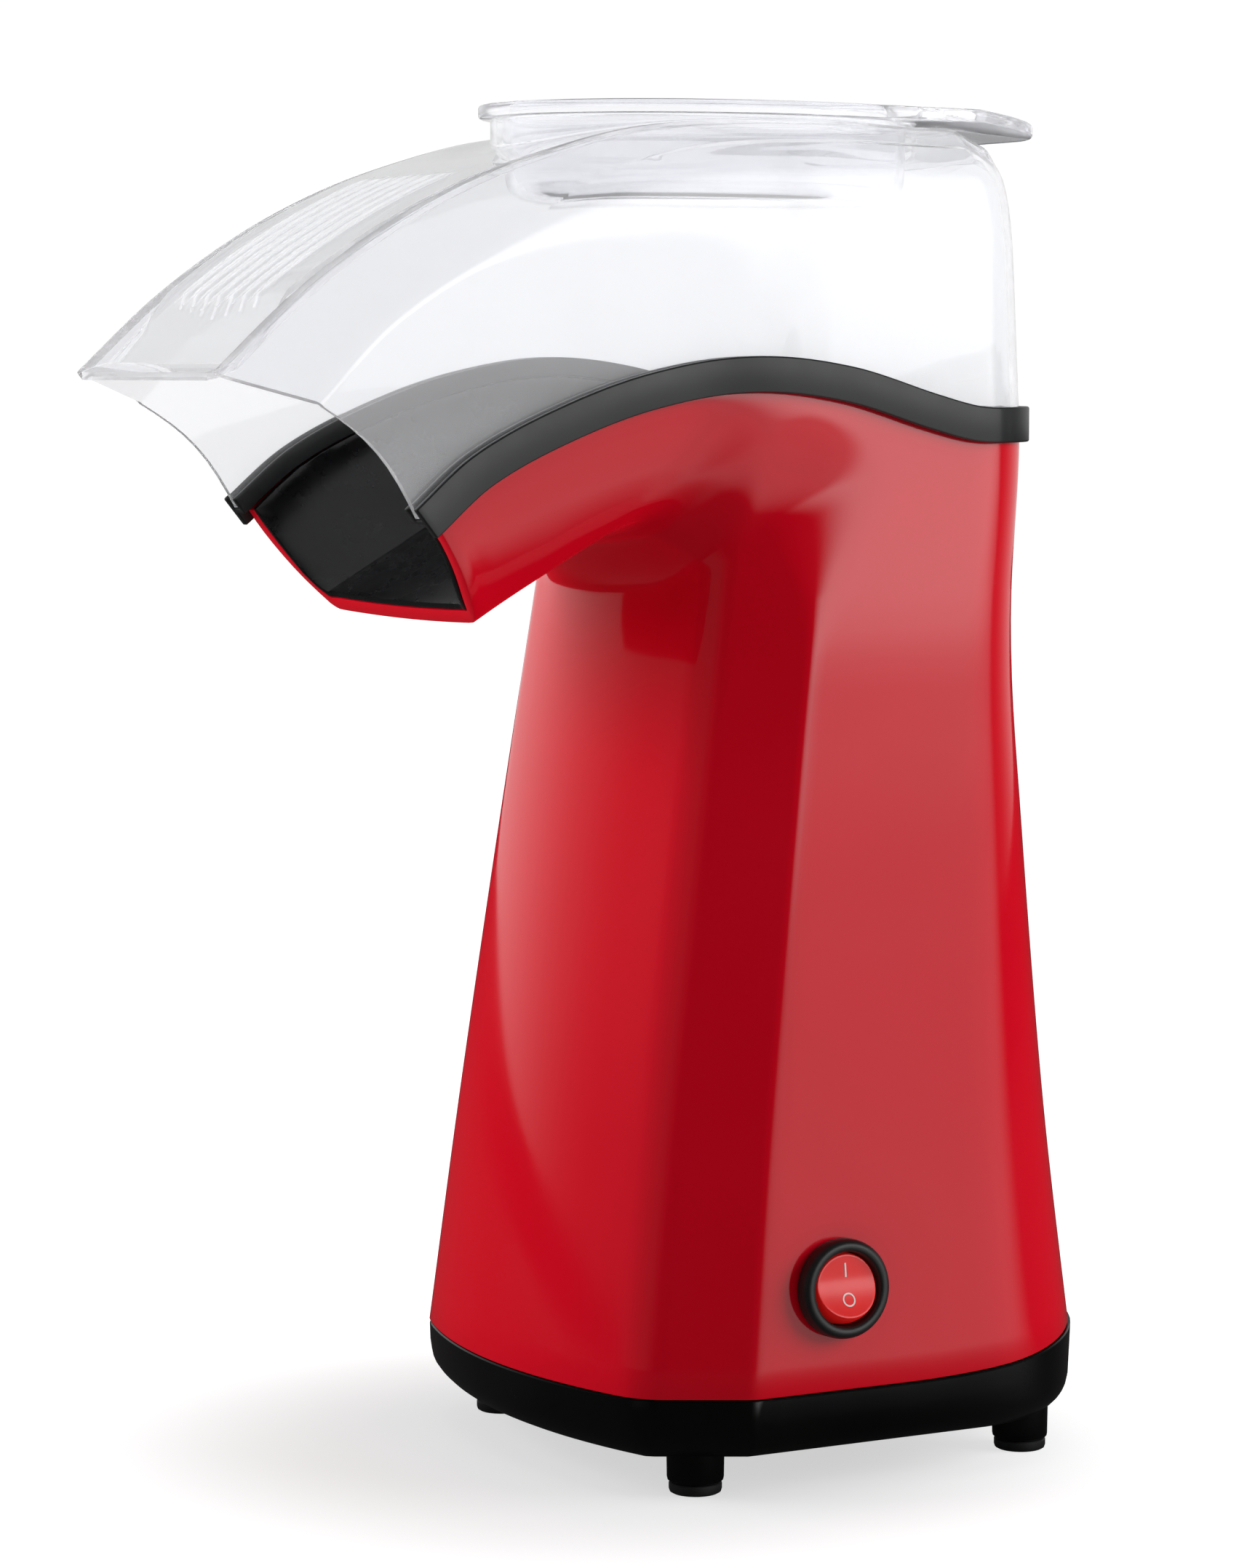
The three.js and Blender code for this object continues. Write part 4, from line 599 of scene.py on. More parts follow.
def cut_round(obj, place, radius, low, high):
    """Cuts a round hole about a placed axis."""
    tool = place(turned([[0, low], [radius, low], [radius, high], [0, high]], 48))
    k, n = tool.shape[:2]
    mesh = bpy.data.meshes.new("round")
    mesh.from_pydata([tuple(p) for p in to_row(tool.reshape(-1, 3))], [], grid_faces(k, n, 0, False, True))
    bm = bmesh.new()
    bm.from_mesh(mesh)
    bpy.data.meshes.remove(mesh)
    bmesh.ops.remove_doubles(bm, verts=bm.verts, dist=1e-7)
    bmesh.ops.recalc_face_normals(bm, faces=bm.faces)
    boolean(obj, bm)


def boolean(obj, bm):
    """Cuts a bmesh out of an object."""
    mesh = bpy.data.meshes.new("tool")
    bm.to_mesh(mesh)
    bm.free()
    cutter = bpy.data.objects.new("tool", mesh)
    bpy.context.scene.collection.objects.link(cutter)
    m = obj.modifiers.new("cut", "BOOLEAN")
    m.operation = "DIFFERENCE"
    m.solver = "EXACT"
    m.object = cutter
    material = obj.data.materials[0]
    bpy.context.view_layer.update()
    apply_modifiers(obj)
    bpy.data.objects.remove(cutter)
    mesh = obj.data
    mesh.materials.clear()
    mesh.materials.append(material)
    mesh.polygons.foreach_set("material_index", [0] * len(mesh.polygons))
    mesh.polygons.foreach_set("use_smooth", [True] * len(mesh.polygons))
    mesh.set_sharp_from_angle(angle=math.radians(28))


def make_liner():
    w = np.linspace(0, 1, 40)
    half = skin_half(w, up=EDGE_UNDER_WEB + LINER_RISE)
    outer = at_level(half, head_wall(half) - LINER_GAP)
    inner = at_level(half, head_wall(half) - LINER_FACE)
    outer[:, 0, 2] = NECK_Z
    inner[:, 0, 2] = NECK_Z + 2
    angle = np.arctan2(outer[:, 0, 1] - AXIS_Y, outer[:, 0, 0])
    r = LINER_NECK_R
    low_ring = stack(np.cos(angle) * r, AXIS_Y + np.sin(angle) * r, NECK_Z)[:, None]
    high_ring = low_ring + np.array([0, 0, 2.0])
    ring = np.concatenate([low_ring, outer, inner[:, ::-1], high_ring], axis=1)
    shell = ring_shell("chute_liner_shell", all_round(ring), LINER_BLACK, "base", bevel=0.3, bevel_angle=55)
    stand_for("chute_liner")


def edge_path(front_y, side_count, corner_count=20, rear_count=10):
    """Stations along the top edge: point, outward direction and slope, from the mouth round to the mouth."""
    corner_y = float(rear_corner_y(272))
    y = lerp(front_y, corner_y, np.linspace(0, 1, side_count + 1))
    side = hit(stack(0, y, BAND_EDGE(y)), np.array([1.0, 0, 0]))
    rows = [(p[0], yy, float(BAND_EDGE(yy)), float(band_slope(yy)), 0.0) for p, yy in zip(side, y)]
    z = 276.0
    cx = float(rear_corner_x(z))
    foot = float(BAND_EDGE(corner_y))
    foot_rear = float(BAND_EDGE(54))
    for s in np.linspace(0, 1, corner_count + 1)[1:]:
        a = s * math.pi / 2
        p = hit(np.array([cx, corner_y, z]), np.array([math.cos(a), math.sin(a), 0]))
        rows.append((p[0], p[1], lerp(foot, foot_rear, smooth(s, 0, 1)), 0.0, a))
    for s in np.linspace(0, 1, rear_count + 1)[1:]:
        p = hit(np.array([cx * (1 - s), corner_y, z]), np.array([0, 1.0, 0]))
        rows.append((p[0], p[1], foot_rear, 0.0, math.pi / 2))
    fade = np.linspace(1, 0, 9)
    half = np.array(rows)
    half[-1, 0] = 0
    half[side_count - 8:side_count + 1, 3] *= fade ** 0.5
    left = half[:-1][::-1].copy()
    left[:, 0] *= -1
    left[:, 4] = math.pi - left[:, 4]
    return np.concatenate([half, left])


def on_edge(stations, n, u):
    """Points n outwards and u up at each station; n and u are lists of section points."""
    x, y, z, slope, turn = (stations[:, None, k] for k in range(5))
    n, u = np.asarray(n)[None], np.asarray(u)[None]
    return stack(x + np.cos(turn) * n, y + np.sin(turn) * n - np.sin(slope) * u, z + np.cos(slope) * u)


def swept(name, rings, material, body, **kw):
    """A closed section carried along stations, with capped ends."""
    n, m = rings.shape[:2]
    faces = grid_faces(n, m, 0, False, True)
    faces.append(tuple(range(m)))
    faces.append(tuple((n - 1) * m + j for j in reversed(range(m))))
    return make(name, rings.reshape(-1, 3), faces, material, body, **kw)


def make_band():
    inner_wall = -4.6
    section = [
        (BAND_PROUD, 0), (BAND_PROUD, BAND_HEIGHT), (0.6, BAND_HEIGHT), (0.6, 5.6),
        (-2.8, 5.6), (-2.8, BAND_HEIGHT), (inner_wall, BAND_HEIGHT), (inner_wall, 4.1), (0.3, 4.1), (0.3, 0),
    ]
    n, u = zip(*section)
    band = swept("trim_band_moulding", on_edge(edge_path(BAND_FRONT_Y, 110), n, u), BAND_BLACK, "base",
                 bevel=0.5, bevel_angle=50, segments=3, smooth_angle=35)
    stand_for("trim_band")


# ---- Base pan and feet ----
FEET = [(54.3, -50.7), (-54.3, -50.7), (54.3, 50.7), (-54.3, 50.7)]
FOOT_NAMES = ["front_right", "front_left", "rear_right", "rear_left"]
SEAM_GAP = 0.35  # between the housing's lower edge and the pan
AIR_SLOTS = 10


def pan_loop(inset, z_of, base):
    """The tower's foot outline, moved inwards and set at the heights of z_of."""
    direction = base * np.array([1, 1, 0.0])
    direction = direction / np.linalg.norm(direction, axis=-1, keepdims=True)
    p = hit(np.broadcast_to(np.array([0, 0, SEAM_Z]), base.shape), direction, -inset)
    p = p.copy()
    p[:, 2] = z_of(base[:, 1])
    return p


def make_pan():
    base = tower_half(np.array([SEAM_Z]))[:, 0]
    floor = 10.5

    def seam(inset, drop):
        return pan_loop(inset, lambda y: seam_z(y) - SEAM_GAP - drop, base)

    def level(inset, up):
        return pan_loop(inset, lambda y: floor + up + 0 * y, base)

    loops = [level(30, 0), level(12, 0), level(9.5, 0.12), level(7.6, 0.55), level(6, 1.25), level(4.6, 2.2),
             level(3.2, 3.5), level(2.1, 5), level(1.3, 6.8), level(0.8, 9), seam(0.35, 5),
             seam(0.15, 0.4), seam(0.4, 0), seam(2.7, 0), seam(3, 3), level(3.6, 8), level(5, 5),
             level(8, 3.2), level(14, 2.5)]
    pan = cup("base_pan_moulding", [all_round(loop[:, None])[:, 0] for loop in loops], PAN_BLACK, "base",
              smooth_angle=26)
    for k in range(1, AIR_SLOTS + 1):
        a = k * math.tau / AIR_SLOTS
        bm = bmesh.new()
        bmesh.ops.create_cube(bm, size=1)
        bmesh.ops.scale(bm, vec=(0.0032, 0.022, 0.012), verts=bm.verts)
        bmesh.ops.translate(bm, vec=(0, 0.029, 0), verts=bm.verts)
        bmesh.ops.rotate(bm, verts=bm.verts, matrix=Matrix.Rotation(a, 3, "Z"))
        bmesh.ops.translate(bm, vec=Vector(to_row([0, AXIS_Y, floor])), verts=bm.verts)
        boolean(pan, bm)
    stand_for("base_pan")
    for (x, y), where in zip(FEET, FOOT_NAMES):
        post = solid_turned("foot_post_" + where,
                            [[0.01, 3.1], [6.9, 3.1], [7.3, 3.5], [7.45, 4.2], [7.6, 13.4], [0.01, 13.4]],
                            PAN_BLACK, "base", axis_xy=(x, y), segments=48)
        pad = solid_turned("foot_pad_round_" + where,
                           [[0.01, 0], [6.1, 0], [6.7, 0.35], [6.95, 1.1], [6.95, 2.5], [6.7, 2.8],
                            [0.01, 2.8]],
                           RUBBER, "base", axis_xy=(x, y), segments=48)
        stand_for("foot_pad_" + where)


# ---- Switch and gland ----
SWITCH_Y, SWITCH_Z, PIVOT_DEPTH, TILT = -19.3, 54.2, 0.6, math.radians(12)


def switch_place(points):
    x = float(side_x(SWITCH_Y, SWITCH_Z))
    lean = math.atan2(float(SIDE_EDGE_X(SWITCH_Z + 5) - SIDE_EDGE_X(SWITCH_Z - 5)), 10)
    out = np.array([math.cos(lean), 0, -math.sin(lean)])
    up = np.array([math.sin(lean), 0, math.cos(lean)])
    across = np.array([0, 1.0, 0])
    return np.array([x, SWITCH_Y, SWITCH_Z]) + points @ np.stack([across, up, out])


def gland_place(points):
    lean = math.atan2(float(REAR_Y(45) - REAR_Y(55)), 10)
    out = np.array([0, math.cos(lean), math.sin(lean)])
    up = np.array([0, -math.sin(lean), math.cos(lean)])
    return np.array([0, float(REAR_Y(50)), 50.0]) + points @ np.stack([np.array([-1.0, 0, 0]), up, out])


def make_switch():
    bezel = [[9.7, -2.2], [10.1, -2.2], [10.1, 0.4], [12.9, 0.4], [13.0, 0.9], [12.97, 2.8], [12.8, 3.7],
             [12.4, 4.4], [11.8, 4.8], [11.1, 4.9], [10.4, 4.75], [9.95, 4.45], [9.75, 4.0], [9.7, 3.2]]
    ring = closed_turned("switch_bezel_ring", bezel, FITTING_BLACK, "base", switch_place, 96, smooth_angle=40)
    stand_for("switch_bezel")
    make_rocker()


VALLEY_Z, VALLEY_ROUND = 2.4, 0.4


def rocker_height(y):
    """Height of the rocker's face over its pivot: two flats that rise away from a rounded valley."""
    return VALLEY_Z + np.sqrt((y * math.tan(TILT)) ** 2 + VALLEY_ROUND)


def rocker_turn(points):
    """At rest the upper half is pressed in."""
    c, s = math.cos(-TILT), math.sin(-TILT)
    turn = np.array([[1, 0, 0], [0, c, s], [0, -s, c]])
    return switch_place(points @ turn + np.array([0, 0, PIVOT_DEPTH]))


def make_rocker():
    r = 9.3
    a = np.linspace(0, 2 * math.pi, 96, endpoint=False)
    loops = []
    for t in np.linspace(0.02, 1, 16):
        x, y = np.cos(a) * t, np.sin(a) * t
        # outermost ring: where the two flats meet the ball
        lo, hi = np.zeros_like(a), np.full_like(a, r)
        for _ in range(40):
            mid = (lo + hi) / 2
            inside = np.hypot(mid, rocker_height(mid * np.sin(a))) < r
            lo, hi = np.where(inside, mid, lo), np.where(inside, hi, mid)
        x, y = x * lo, y * lo
        loops.append(stack(x, y, rocker_height(y)))
    rim = loops[-1]
    rim_angle = np.arcsin(rim[:, 2] / r)
    for t in np.linspace(0, 1, 10)[1:]:
        e = lerp(rim_angle, math.radians(-42), t)
        loops.append(stack(np.cos(a) * r * np.cos(e), np.sin(a) * r * np.cos(e), r * np.sin(e)))
    face = cup("rocker_cap", rocker_turn(np.array(loops[::-1])), ROCKER_RED_PAINTED_GLOW, "rocker", bevel=0.3,
               bevel_angle=40, segments=2, smooth_angle=30)
    stand_for("rocker")
    make_marks()


def make_marks():
    """Line and circle, the generic signs for on and off."""
    a = np.linspace(0, 2 * math.pi, 40, endpoint=False)

    def lifted(x, y, up):
        return stack(x, y, rocker_height(y) + up)

    ring = []
    for r, up in ((1.85, 0.02), (1.85, 0.09), (1.45, 0.09), (1.45, 0.02)):
        ring.append(lifted(np.cos(a) * r, -3.4 + np.sin(a) * r, up))
    k, n = len(ring), len(a)
    pts = rocker_turn(np.array(ring)).reshape(-1, 3)
    off = make("mark_circle", pts, grid_faces(k, n, 0, True, True), MARK_WHITE, "rocker")
    x = np.array([-0.24, 0.24, 0.24, -0.24])
    y = np.array([2.5, 2.5, 6.1, 6.1])
    both = np.concatenate([lifted(x, y, 0.02), lifted(x, y, 0.09)])
    faces = [(3, 2, 1, 0), (4, 5, 6, 7), (0, 1, 5, 4), (1, 2, 6, 5), (2, 3, 7, 6), (3, 0, 4, 7)]
    on = make("mark_line", rocker_turn(both), faces, MARK_WHITE, "rocker")


def make_gland():
    profile = [[4.2, -6], [6.2, -6], [6.3, 0.5], [8.7, 0.5], [9, 0.9], [9, 2.6], [8.6, 3.1], [7.4, 3.5],
               [6.2, 5], [5.6, 7.6], [5.3, 9.1], [4.9, 9.5], [4.4, 9.5], [4.2, 9.2]]
    boot = closed_turned("cord_gland_boot", profile, RUBBER, "base", gland_place, 64, smooth_angle=40)
    stand_for("cord_gland")


# ---- Hood ----
RIDGE_X, SHOULDER_X = 43.2, 56.8
RIDGE_Z = curve_through([
    [-180, 290], [-158, 309.6], [-134, 326], [-111, 337.6], [-88, 345.8],
    [-64, 351.9], [-37, 354.6], [-5, 355.2], [20, 354.2], [60, 353],
])
SHOULDER_Z = curve_through([
    [-157.7, 282.7], [-137.5, 302.3], [-109.5, 319.1], [-73, 335], [-30, 344.5], [60, 345],
])
HOOD_TIP_Y, SHOULDER_TIP_Y, HOOD_FRONT_Y = -180.0, -157.7, -126.2
SCALLOP, HOOD_WALL, HOOD_CORNER_Y, HOOD_CORNER_R = 3.4, 2.0, 34.4, 16.5
REAR_SHOULDER_Z, REAR_RIDGE_REACH, REAR_RIDGE_Z, REAR_TOP_Y, REAR_TOP_R = 336.0, 11.2, 347.9, 30.9, 20.0
CAP_Y, BOWL_X, BOWL_Y = -16.6, 38.8, 57.9
COLLAR_TOP_Z, COLLAR_WALL, COLLAR_CLEAR = 355.9, 1.6, 1.6


def top_z(y):
    over = np.clip(y - REAR_TOP_Y, 0, REAR_TOP_R)
    return RIDGE_Z(y) - (REAR_TOP_R - np.sqrt(REAR_TOP_R**2 - over**2))


def hood_rows(path, side_count, corner_count):
    """Section nodes from the foot over the shoulder to the ridge, one row of nodes for each station."""
    corner_y = HOOD_CORNER_Y
    count = len(path)
    out = []
    for i, station in enumerate(path):
        order = i if i <= (count - 1) // 2 else count - 1 - i
        side = 1.0 if i <= (count - 1) // 2 else -1.0
        foot = on_edge(path[i:i + 1], [-0.1], [HOOD_FOOT])[0, 0]
        if order <= side_count:
            s = order / side_count
            sy = lerp(SHOULDER_TIP_Y, corner_y, s)
            ry = lerp(HOOD_TIP_Y, corner_y, s)
            shoulder = np.array([side * SHOULDER_X, sy, float(SHOULDER_Z(sy))])
            ridge = np.array([side * RIDGE_X, ry, float(RIDGE_Z(ry))])
            soft = float(smooth(sy, -122, -50))
            hollow = SCALLOP * max(0.0, 1 - s * 9) ** 1.5
        else:
            angle = station[4] if side > 0 else math.pi - station[4]
            rearward = math.sin(angle)
            across = min(abs(station[0]) / abs(path[side_count + corner_count][0]), 1)
            if order <= side_count + corner_count:
                across = 1.0
            reach = lerp(RIDGE_X - SHOULDER_X + HOOD_CORNER_R, REAR_RIDGE_REACH, rearward)

            def ring(r, z):
                x = (SHOULDER_X - HOOD_CORNER_R) * across + r * math.cos(angle)
                return np.array([side * x, corner_y + r * rearward, z])

            shoulder = ring(HOOD_CORNER_R, lerp(float(SHOULDER_Z(corner_y)), REAR_SHOULDER_Z, rearward))
            ridge = ring(reach, lerp(float(RIDGE_Z(corner_y)), REAR_RIDGE_Z, rearward))
            soft, hollow = 1.0, 0.0
        if i == (count - 1) // 2:
            for p in (foot, shoulder, ridge):
                p[0] = 0
        out.append(section_nodes(foot, shoulder, ridge, soft, hollow))
    return np.array(out)


def section_nodes(foot, shoulder, ridge, soft, hollow):
    round_s = lerp(0.05, 0.45, soft)
    round_r = lerp(0.04, 0.5, soft)
    crown = ridge * np.array([0.993, 1, 1])
    a = lerp(shoulder, foot, round_s * 0.8)
    c = lerp(shoulder, ridge, round_s)
    d = lerp(ridge, shoulder, round_r)
    rows = []
    for t in np.linspace(0, 1, 9)[:-1]:
        p = lerp(foot, a, t)
        bulge = hollow * math.sin(math.pi * t)
        rows.append(p + np.array([0, 0.62 * bulge, 0.72 * bulge]))
    for t in np.linspace(0, 1, 7):
        rows.append(lerp(lerp(a, shoulder, t), lerp(shoulder, c, t), t))
    for t in np.linspace(0, 1, 5)[1:-1]:
        rows.append(lerp(c, d, t))
    for t in np.linspace(0, 1, 7):
        rows.append(lerp(lerp(d, ridge, t), lerp(ridge, crown, t), t))
    return np.array(rows)


def oval(angle, grow):
    return np.cos(angle) * (BOWL_X + grow), CAP_Y + np.sin(angle) * (BOWL_Y + grow)


def make_hood():
    side_count, corner_count, rear_count = 64, 16, 10
    path = edge_path(HOOD_FRONT_Y, side_count, corner_count, rear_count)
    walls = hood_rows(path, side_count, corner_count)
    left, right = walls[-1, -1], walls[0, -1]
    front = np.array([lerp(left, right, t) for t in np.linspace(0, 1, 26)[1:-1]])
    rim = np.concatenate([walls[:, -1], front])
    count = len(rim)
    middle = (len(walls) - 1) / 2
    angle = math.pi / 2 + (np.arange(count) - middle) / count * math.tau
    ox, oy = oval(angle, COLLAR_CLEAR + COLLAR_WALL)
    rows = []
    for t in np.linspace(0, 1, 15):
        x, y = lerp(rim[:, 0], ox, t), lerp(rim[:, 1], oy, t)
        z = lerp(rim[:, 2], top_z(y), min(1, t * 5))
        rows.append(stack(x, y, z))
    for up, grow in ((0.25, 0.12), (0.6, 0)):
        rows.append(stack(*oval(angle, COLLAR_CLEAR + COLLAR_WALL + grow), top_z(oy) + up))
    rows.append(stack(ox, oy, np.full(count, COLLAR_TOP_Z - 0.4)))
    rows.append(stack(*oval(angle, COLLAR_CLEAR + COLLAR_WALL - 0.4), np.full(count, COLLAR_TOP_Z)))
    rows.append(stack(*oval(angle, COLLAR_CLEAR + 0.4), np.full(count, COLLAR_TOP_Z)))
    rows.append(stack(*oval(angle, COLLAR_CLEAR), np.full(count, COLLAR_TOP_Z - 0.4)))
    rows.append(stack(*oval(angle, COLLAR_CLEAR), top_z(oval(angle, COLLAR_CLEAR)[1]) - HOOD_WALL))
    grown = rows[:15]
    for t in np.linspace(0, 1, 15)[::-1][1:-1]:
        k = int(round(t * 14))
        rows.append(grown[k] - np.array([0, 0, HOOD_WALL]))
    top = np.array(rows).transpose(1, 0, 2)

    inner = walls.copy()
    along = np.gradient(walls, axis=0)
    up = np.gradient(walls, axis=1)
    normal = np.cross(along, up)
    normal /= np.linalg.norm(normal, axis=-1, keepdims=True)
    inner = walls - normal * HOOD_WALL
    inner[:, 0, 2] = walls[:, 0, 2]
    points, faces = [], []

    def block(grid, **kw):
        start = sum(len(p) for p in points)
        points.append(grid.reshape(-1, 3))
        faces.extend(grid_faces(grid.shape[0], grid.shape[1], start, **kw))
        return start

    block(walls)
    block(inner)
    block(top, closed_n=True)
    # inner rim of the top plate down to the inner walls
    under = top[:, -1]
    inner_rim = np.concatenate([inner[:, -1], front - np.array([0, 0.6, HOOD_WALL])])
    block(np.stack([under, inner_rim], axis=1), closed_n=True)
    block(np.stack([walls[:, 0], inner[:, 0]], axis=1))
    for end in (0, -1):
        block(np.stack([walls[end], inner[end]], axis=1))
    edge_out = np.concatenate([walls[-1:, -1], front, walls[:1, -1]])
    edge_in = np.concatenate([inner[-1:, -1], inner_rim[len(walls):], inner[:1, -1]])
    block(np.stack([edge_out, edge_in], axis=1))
    hood = make("hood_moulding", np.concatenate(points), faces, CLEAR, "hood", smooth_angle=20)
    hood.visible_shadow = False
    stand_for("hood")


def make_ribs():
    """Raised lines moulded along the top panel."""
    for k in range(7):
        x = -24.5 + k * 7.6
        y = np.linspace(-163 + abs(k - 3) * 0.8, -103, 60)
        z = RIDGE_Z(y)
        taper = np.clip(np.minimum(np.arange(60), np.arange(60)[::-1]) / 4.0, 0.12, 1)
        a = np.linspace(0, math.pi, 9)
        ring = stack(x + np.cos(a)[None] * 0.8, y[:, None] + 0 * a[None],
                     z[:, None] + 0.16 + np.sin(a)[None] * 0.7 * taper[:, None])
        rib = swept("hood_rib_%d" % (k + 1), ring, RIB_CLEAR, "hood", smooth_angle=60)
        rib.visible_shadow = False


# ---- Measuring cap ----
RIM_X, RIM_Y, RIM_Z, RIM_T = 45.8, 64.2, 356.3, 3.6
TAB_HALF_WIDTH, TAB_END_Y, TAB_CORNER, TAB_BLEND, TAB_BEND_Y, TAB_SLOPE = 37.5, 72.5, 20.0, 10.0, 45.0, 0.14
BOWL_FLOOR_Z, BOWL_WALL = 334.5, 2.0


def rim_plan(angle, inset):
    c, s = np.cos(angle), np.sin(angle)
    tab_x, tab_y = TAB_HALF_WIDTH - TAB_CORNER, TAB_END_Y - CAP_Y - TAB_CORNER
    near, far = np.zeros_like(angle), np.full_like(angle, 160.0)
    for _ in range(40):
        r = (near + far) / 2
        x, y = np.abs(r * c), r * s
        ring = (np.hypot(x / (RIM_X - inset), y / (RIM_Y - inset)) - 1) * RIM_X
        tab = np.hypot(x - np.clip(x, 0, tab_x), y - np.clip(y, 0, tab_y)) - TAB_CORNER + inset
        inside = round_min(ring, tab, TAB_BLEND) < 0
        near, far = np.where(inside, r, near), np.where(inside, far, r)
    return near * c, CAP_Y + near * s


def make_cap():
    angle = np.linspace(0, math.tau, 180, endpoint=False)

    def droop(y):
        over = np.maximum(0, y - TAB_BEND_Y)
        return -TAB_SLOPE * over * np.minimum(1, over / 8) ** 0.5

    def bowl(grow, z):
        return stack(*oval(angle, grow), z)

    def rim(inset, z):
        x, y = rim_plan(angle, inset)
        return stack(x, y, z + droop(y))

    f, top = BOWL_FLOOR_Z, RIM_Z + RIM_T
    wall = -BOWL_WALL
    loops = [bowl(-30, f + 0.4), bowl(-12, f + 0.1), bowl(-8, f), bowl(-6, f + 0.25), bowl(-4, f + 0.95),
             bowl(-2.3, f + 2.1), bowl(-1.1, f + 3.9), bowl(-0.55, f + 6.5), bowl(-0.2, f + 14),
             bowl(0, RIM_Z - 0.6), bowl(0.3, RIM_Z - 0.1), bowl(0.8, RIM_Z), rim(0.9, RIM_Z),
             rim(0.3, RIM_Z + 0.25), rim(0, RIM_Z + 0.8), rim(0, top - 0.8), rim(0.3, top - 0.25),
             rim(0.9, top), bowl(wall + 0.9, top), bowl(wall + 0.2, top - 0.3), bowl(wall, top - 1),
             bowl(wall - 0.3, f + 12), bowl(wall - 0.7, f + 7.4), bowl(wall - 1.3, f + 5.3),
             bowl(wall - 2.6, f + 3.5), bowl(wall - 4.4, f + 2.4), bowl(wall - 6.5, f + 2.05),
             bowl(-14, f + 2.1), bowl(-30, f + 2.4)]
    cap = cup("measuring_cap_moulding", loops, CLEAR_CAP, "cap", smooth_angle=30)
    cap.visible_shadow = False
    stand_for("measuring_cap")


# ---- Carried-over CAD pieces ----
def finish_of(name):
    if name == "popping_chamber" or name == "fan_impeller":
        return ALUMINIUM
    if name == "heater_frame":
        return MICA
    if name in ("thermostat", "thermal_fuse", "motor_end_bell"):
        return NYLON
    if name.startswith("motor_magnet"):
        return MAGNET
    if name.startswith(("motor_bearing", "switch_terminal")):
        return BRASS
    if name == "rectifier_board":
        return BOARD
    if name == "rotor":
        return COPPER
    if name in ("diode_bridge", "switch_body"):
        return FITTING_BLACK
    if name.startswith("wire_"):
        return JACKET
    if name.startswith("foot_pad") or name == "cord_gland":
        return RUBBER
    return STEEL


def dress_cad():
    for name, node in nodes.items():
        node.data.materials.clear()
        node.data.materials.append(finish_of(name))


# ---- Stage ----
CAMERA_AZIMUTH, CAMERA_PITCH = math.radians(60.8), math.radians(5.17)
CAMERA_AIM, CAMERA_DISTANCE = [-25.5, -26.3, 177.4], 1.254
LENS, SENSOR = 104.91, 36
LIGHTS = [("front_fill", (-0.6, -0.8, 0.3), 1.3, 6.4), ("rear_fill", (0.6, 0.76, 0.3), 1.3, 6.0),
          ("top_fill", (0.1, -0.1, 1.0), 1.2, 1.2)]  # name, direction, distance and radiance
LIGHT_SIZE, MIDDLE_Z = 0.8, 0.18
LIGHT_BOUNCES = 24


def reflection_share(tree):
    """1 for rays that a surface mirrors, 0 for those that are seen straight, let through or scattered."""
    path = tree.nodes.new("ShaderNodeLightPath")
    through = tree.nodes.new("ShaderNodeMath")
    through.operation = "SUBTRACT"
    through.use_clamp = True
    tree.links.new(path.outputs["Is Glossy Ray"], through.inputs[0])
    tree.links.new(path.outputs["Is Transmission Ray"], through.inputs[1])
    return path, through.outputs["Value"]


def mix_value(tree, share, a, b):
    m = tree.nodes.new("ShaderNodeMix")
    m.data_type = "FLOAT"
    tree.links.new(share, m.inputs["Factor"])
    for value, socket in ((a, m.inputs[2]), (b, m.inputs[3])):
        if hasattr(value, "links"):
            tree.links.new(value, socket)
        else:
            socket.default_value = value
    return m.outputs[0]


SIDE_PANEL = (0.872, 0.489, 0)
PANEL_EDGE = (0.8, 0.97)


def share_along(tree, vector, direction, low, high, bottom, top):
    """A smooth step, from bottom to top, over how far a vector points along a direction."""
    along = tree.nodes.new("ShaderNodeVectorMath")
    along.operation = "DOT_PRODUCT"
    along.inputs[1].default_value = direction
    tree.links.new(vector, along.inputs[0])
    return step_between(tree, along.outputs["Value"], low, high, bottom, top)


def step_between(tree, value, low, high, bottom, top):
    share = tree.nodes.new("ShaderNodeMapRange")
    share.interpolation_type = "SMOOTHSTEP"
    for name, number in (("From Min", low), ("From Max", high), ("To Min", bottom), ("To Max", top)):
        share.inputs[name].default_value = number
    tree.links.new(value, share.inputs["Value"])
    return share.outputs["Result"]


def combine(tree, operation, a, b):
    m = tree.nodes.new("ShaderNodeMath")
    m.operation = operation
    tree.links.new(a, m.inputs[0])
    tree.links.new(b, m.inputs[1])
    return m.outputs["Value"]


def from_middle(tree, vector):
    """Distance from the object's middle, and direction."""
    length = tree.nodes.new("ShaderNodeVectorMath")
    length.operation = "LENGTH"
    tree.links.new(vector, length.inputs[0])
    unit = tree.nodes.new("ShaderNodeVectorMath")
    unit.operation = "NORMALIZE"
    tree.links.new(vector, unit.inputs[0])
    return length.outputs["Value"], unit.outputs["Vector"]


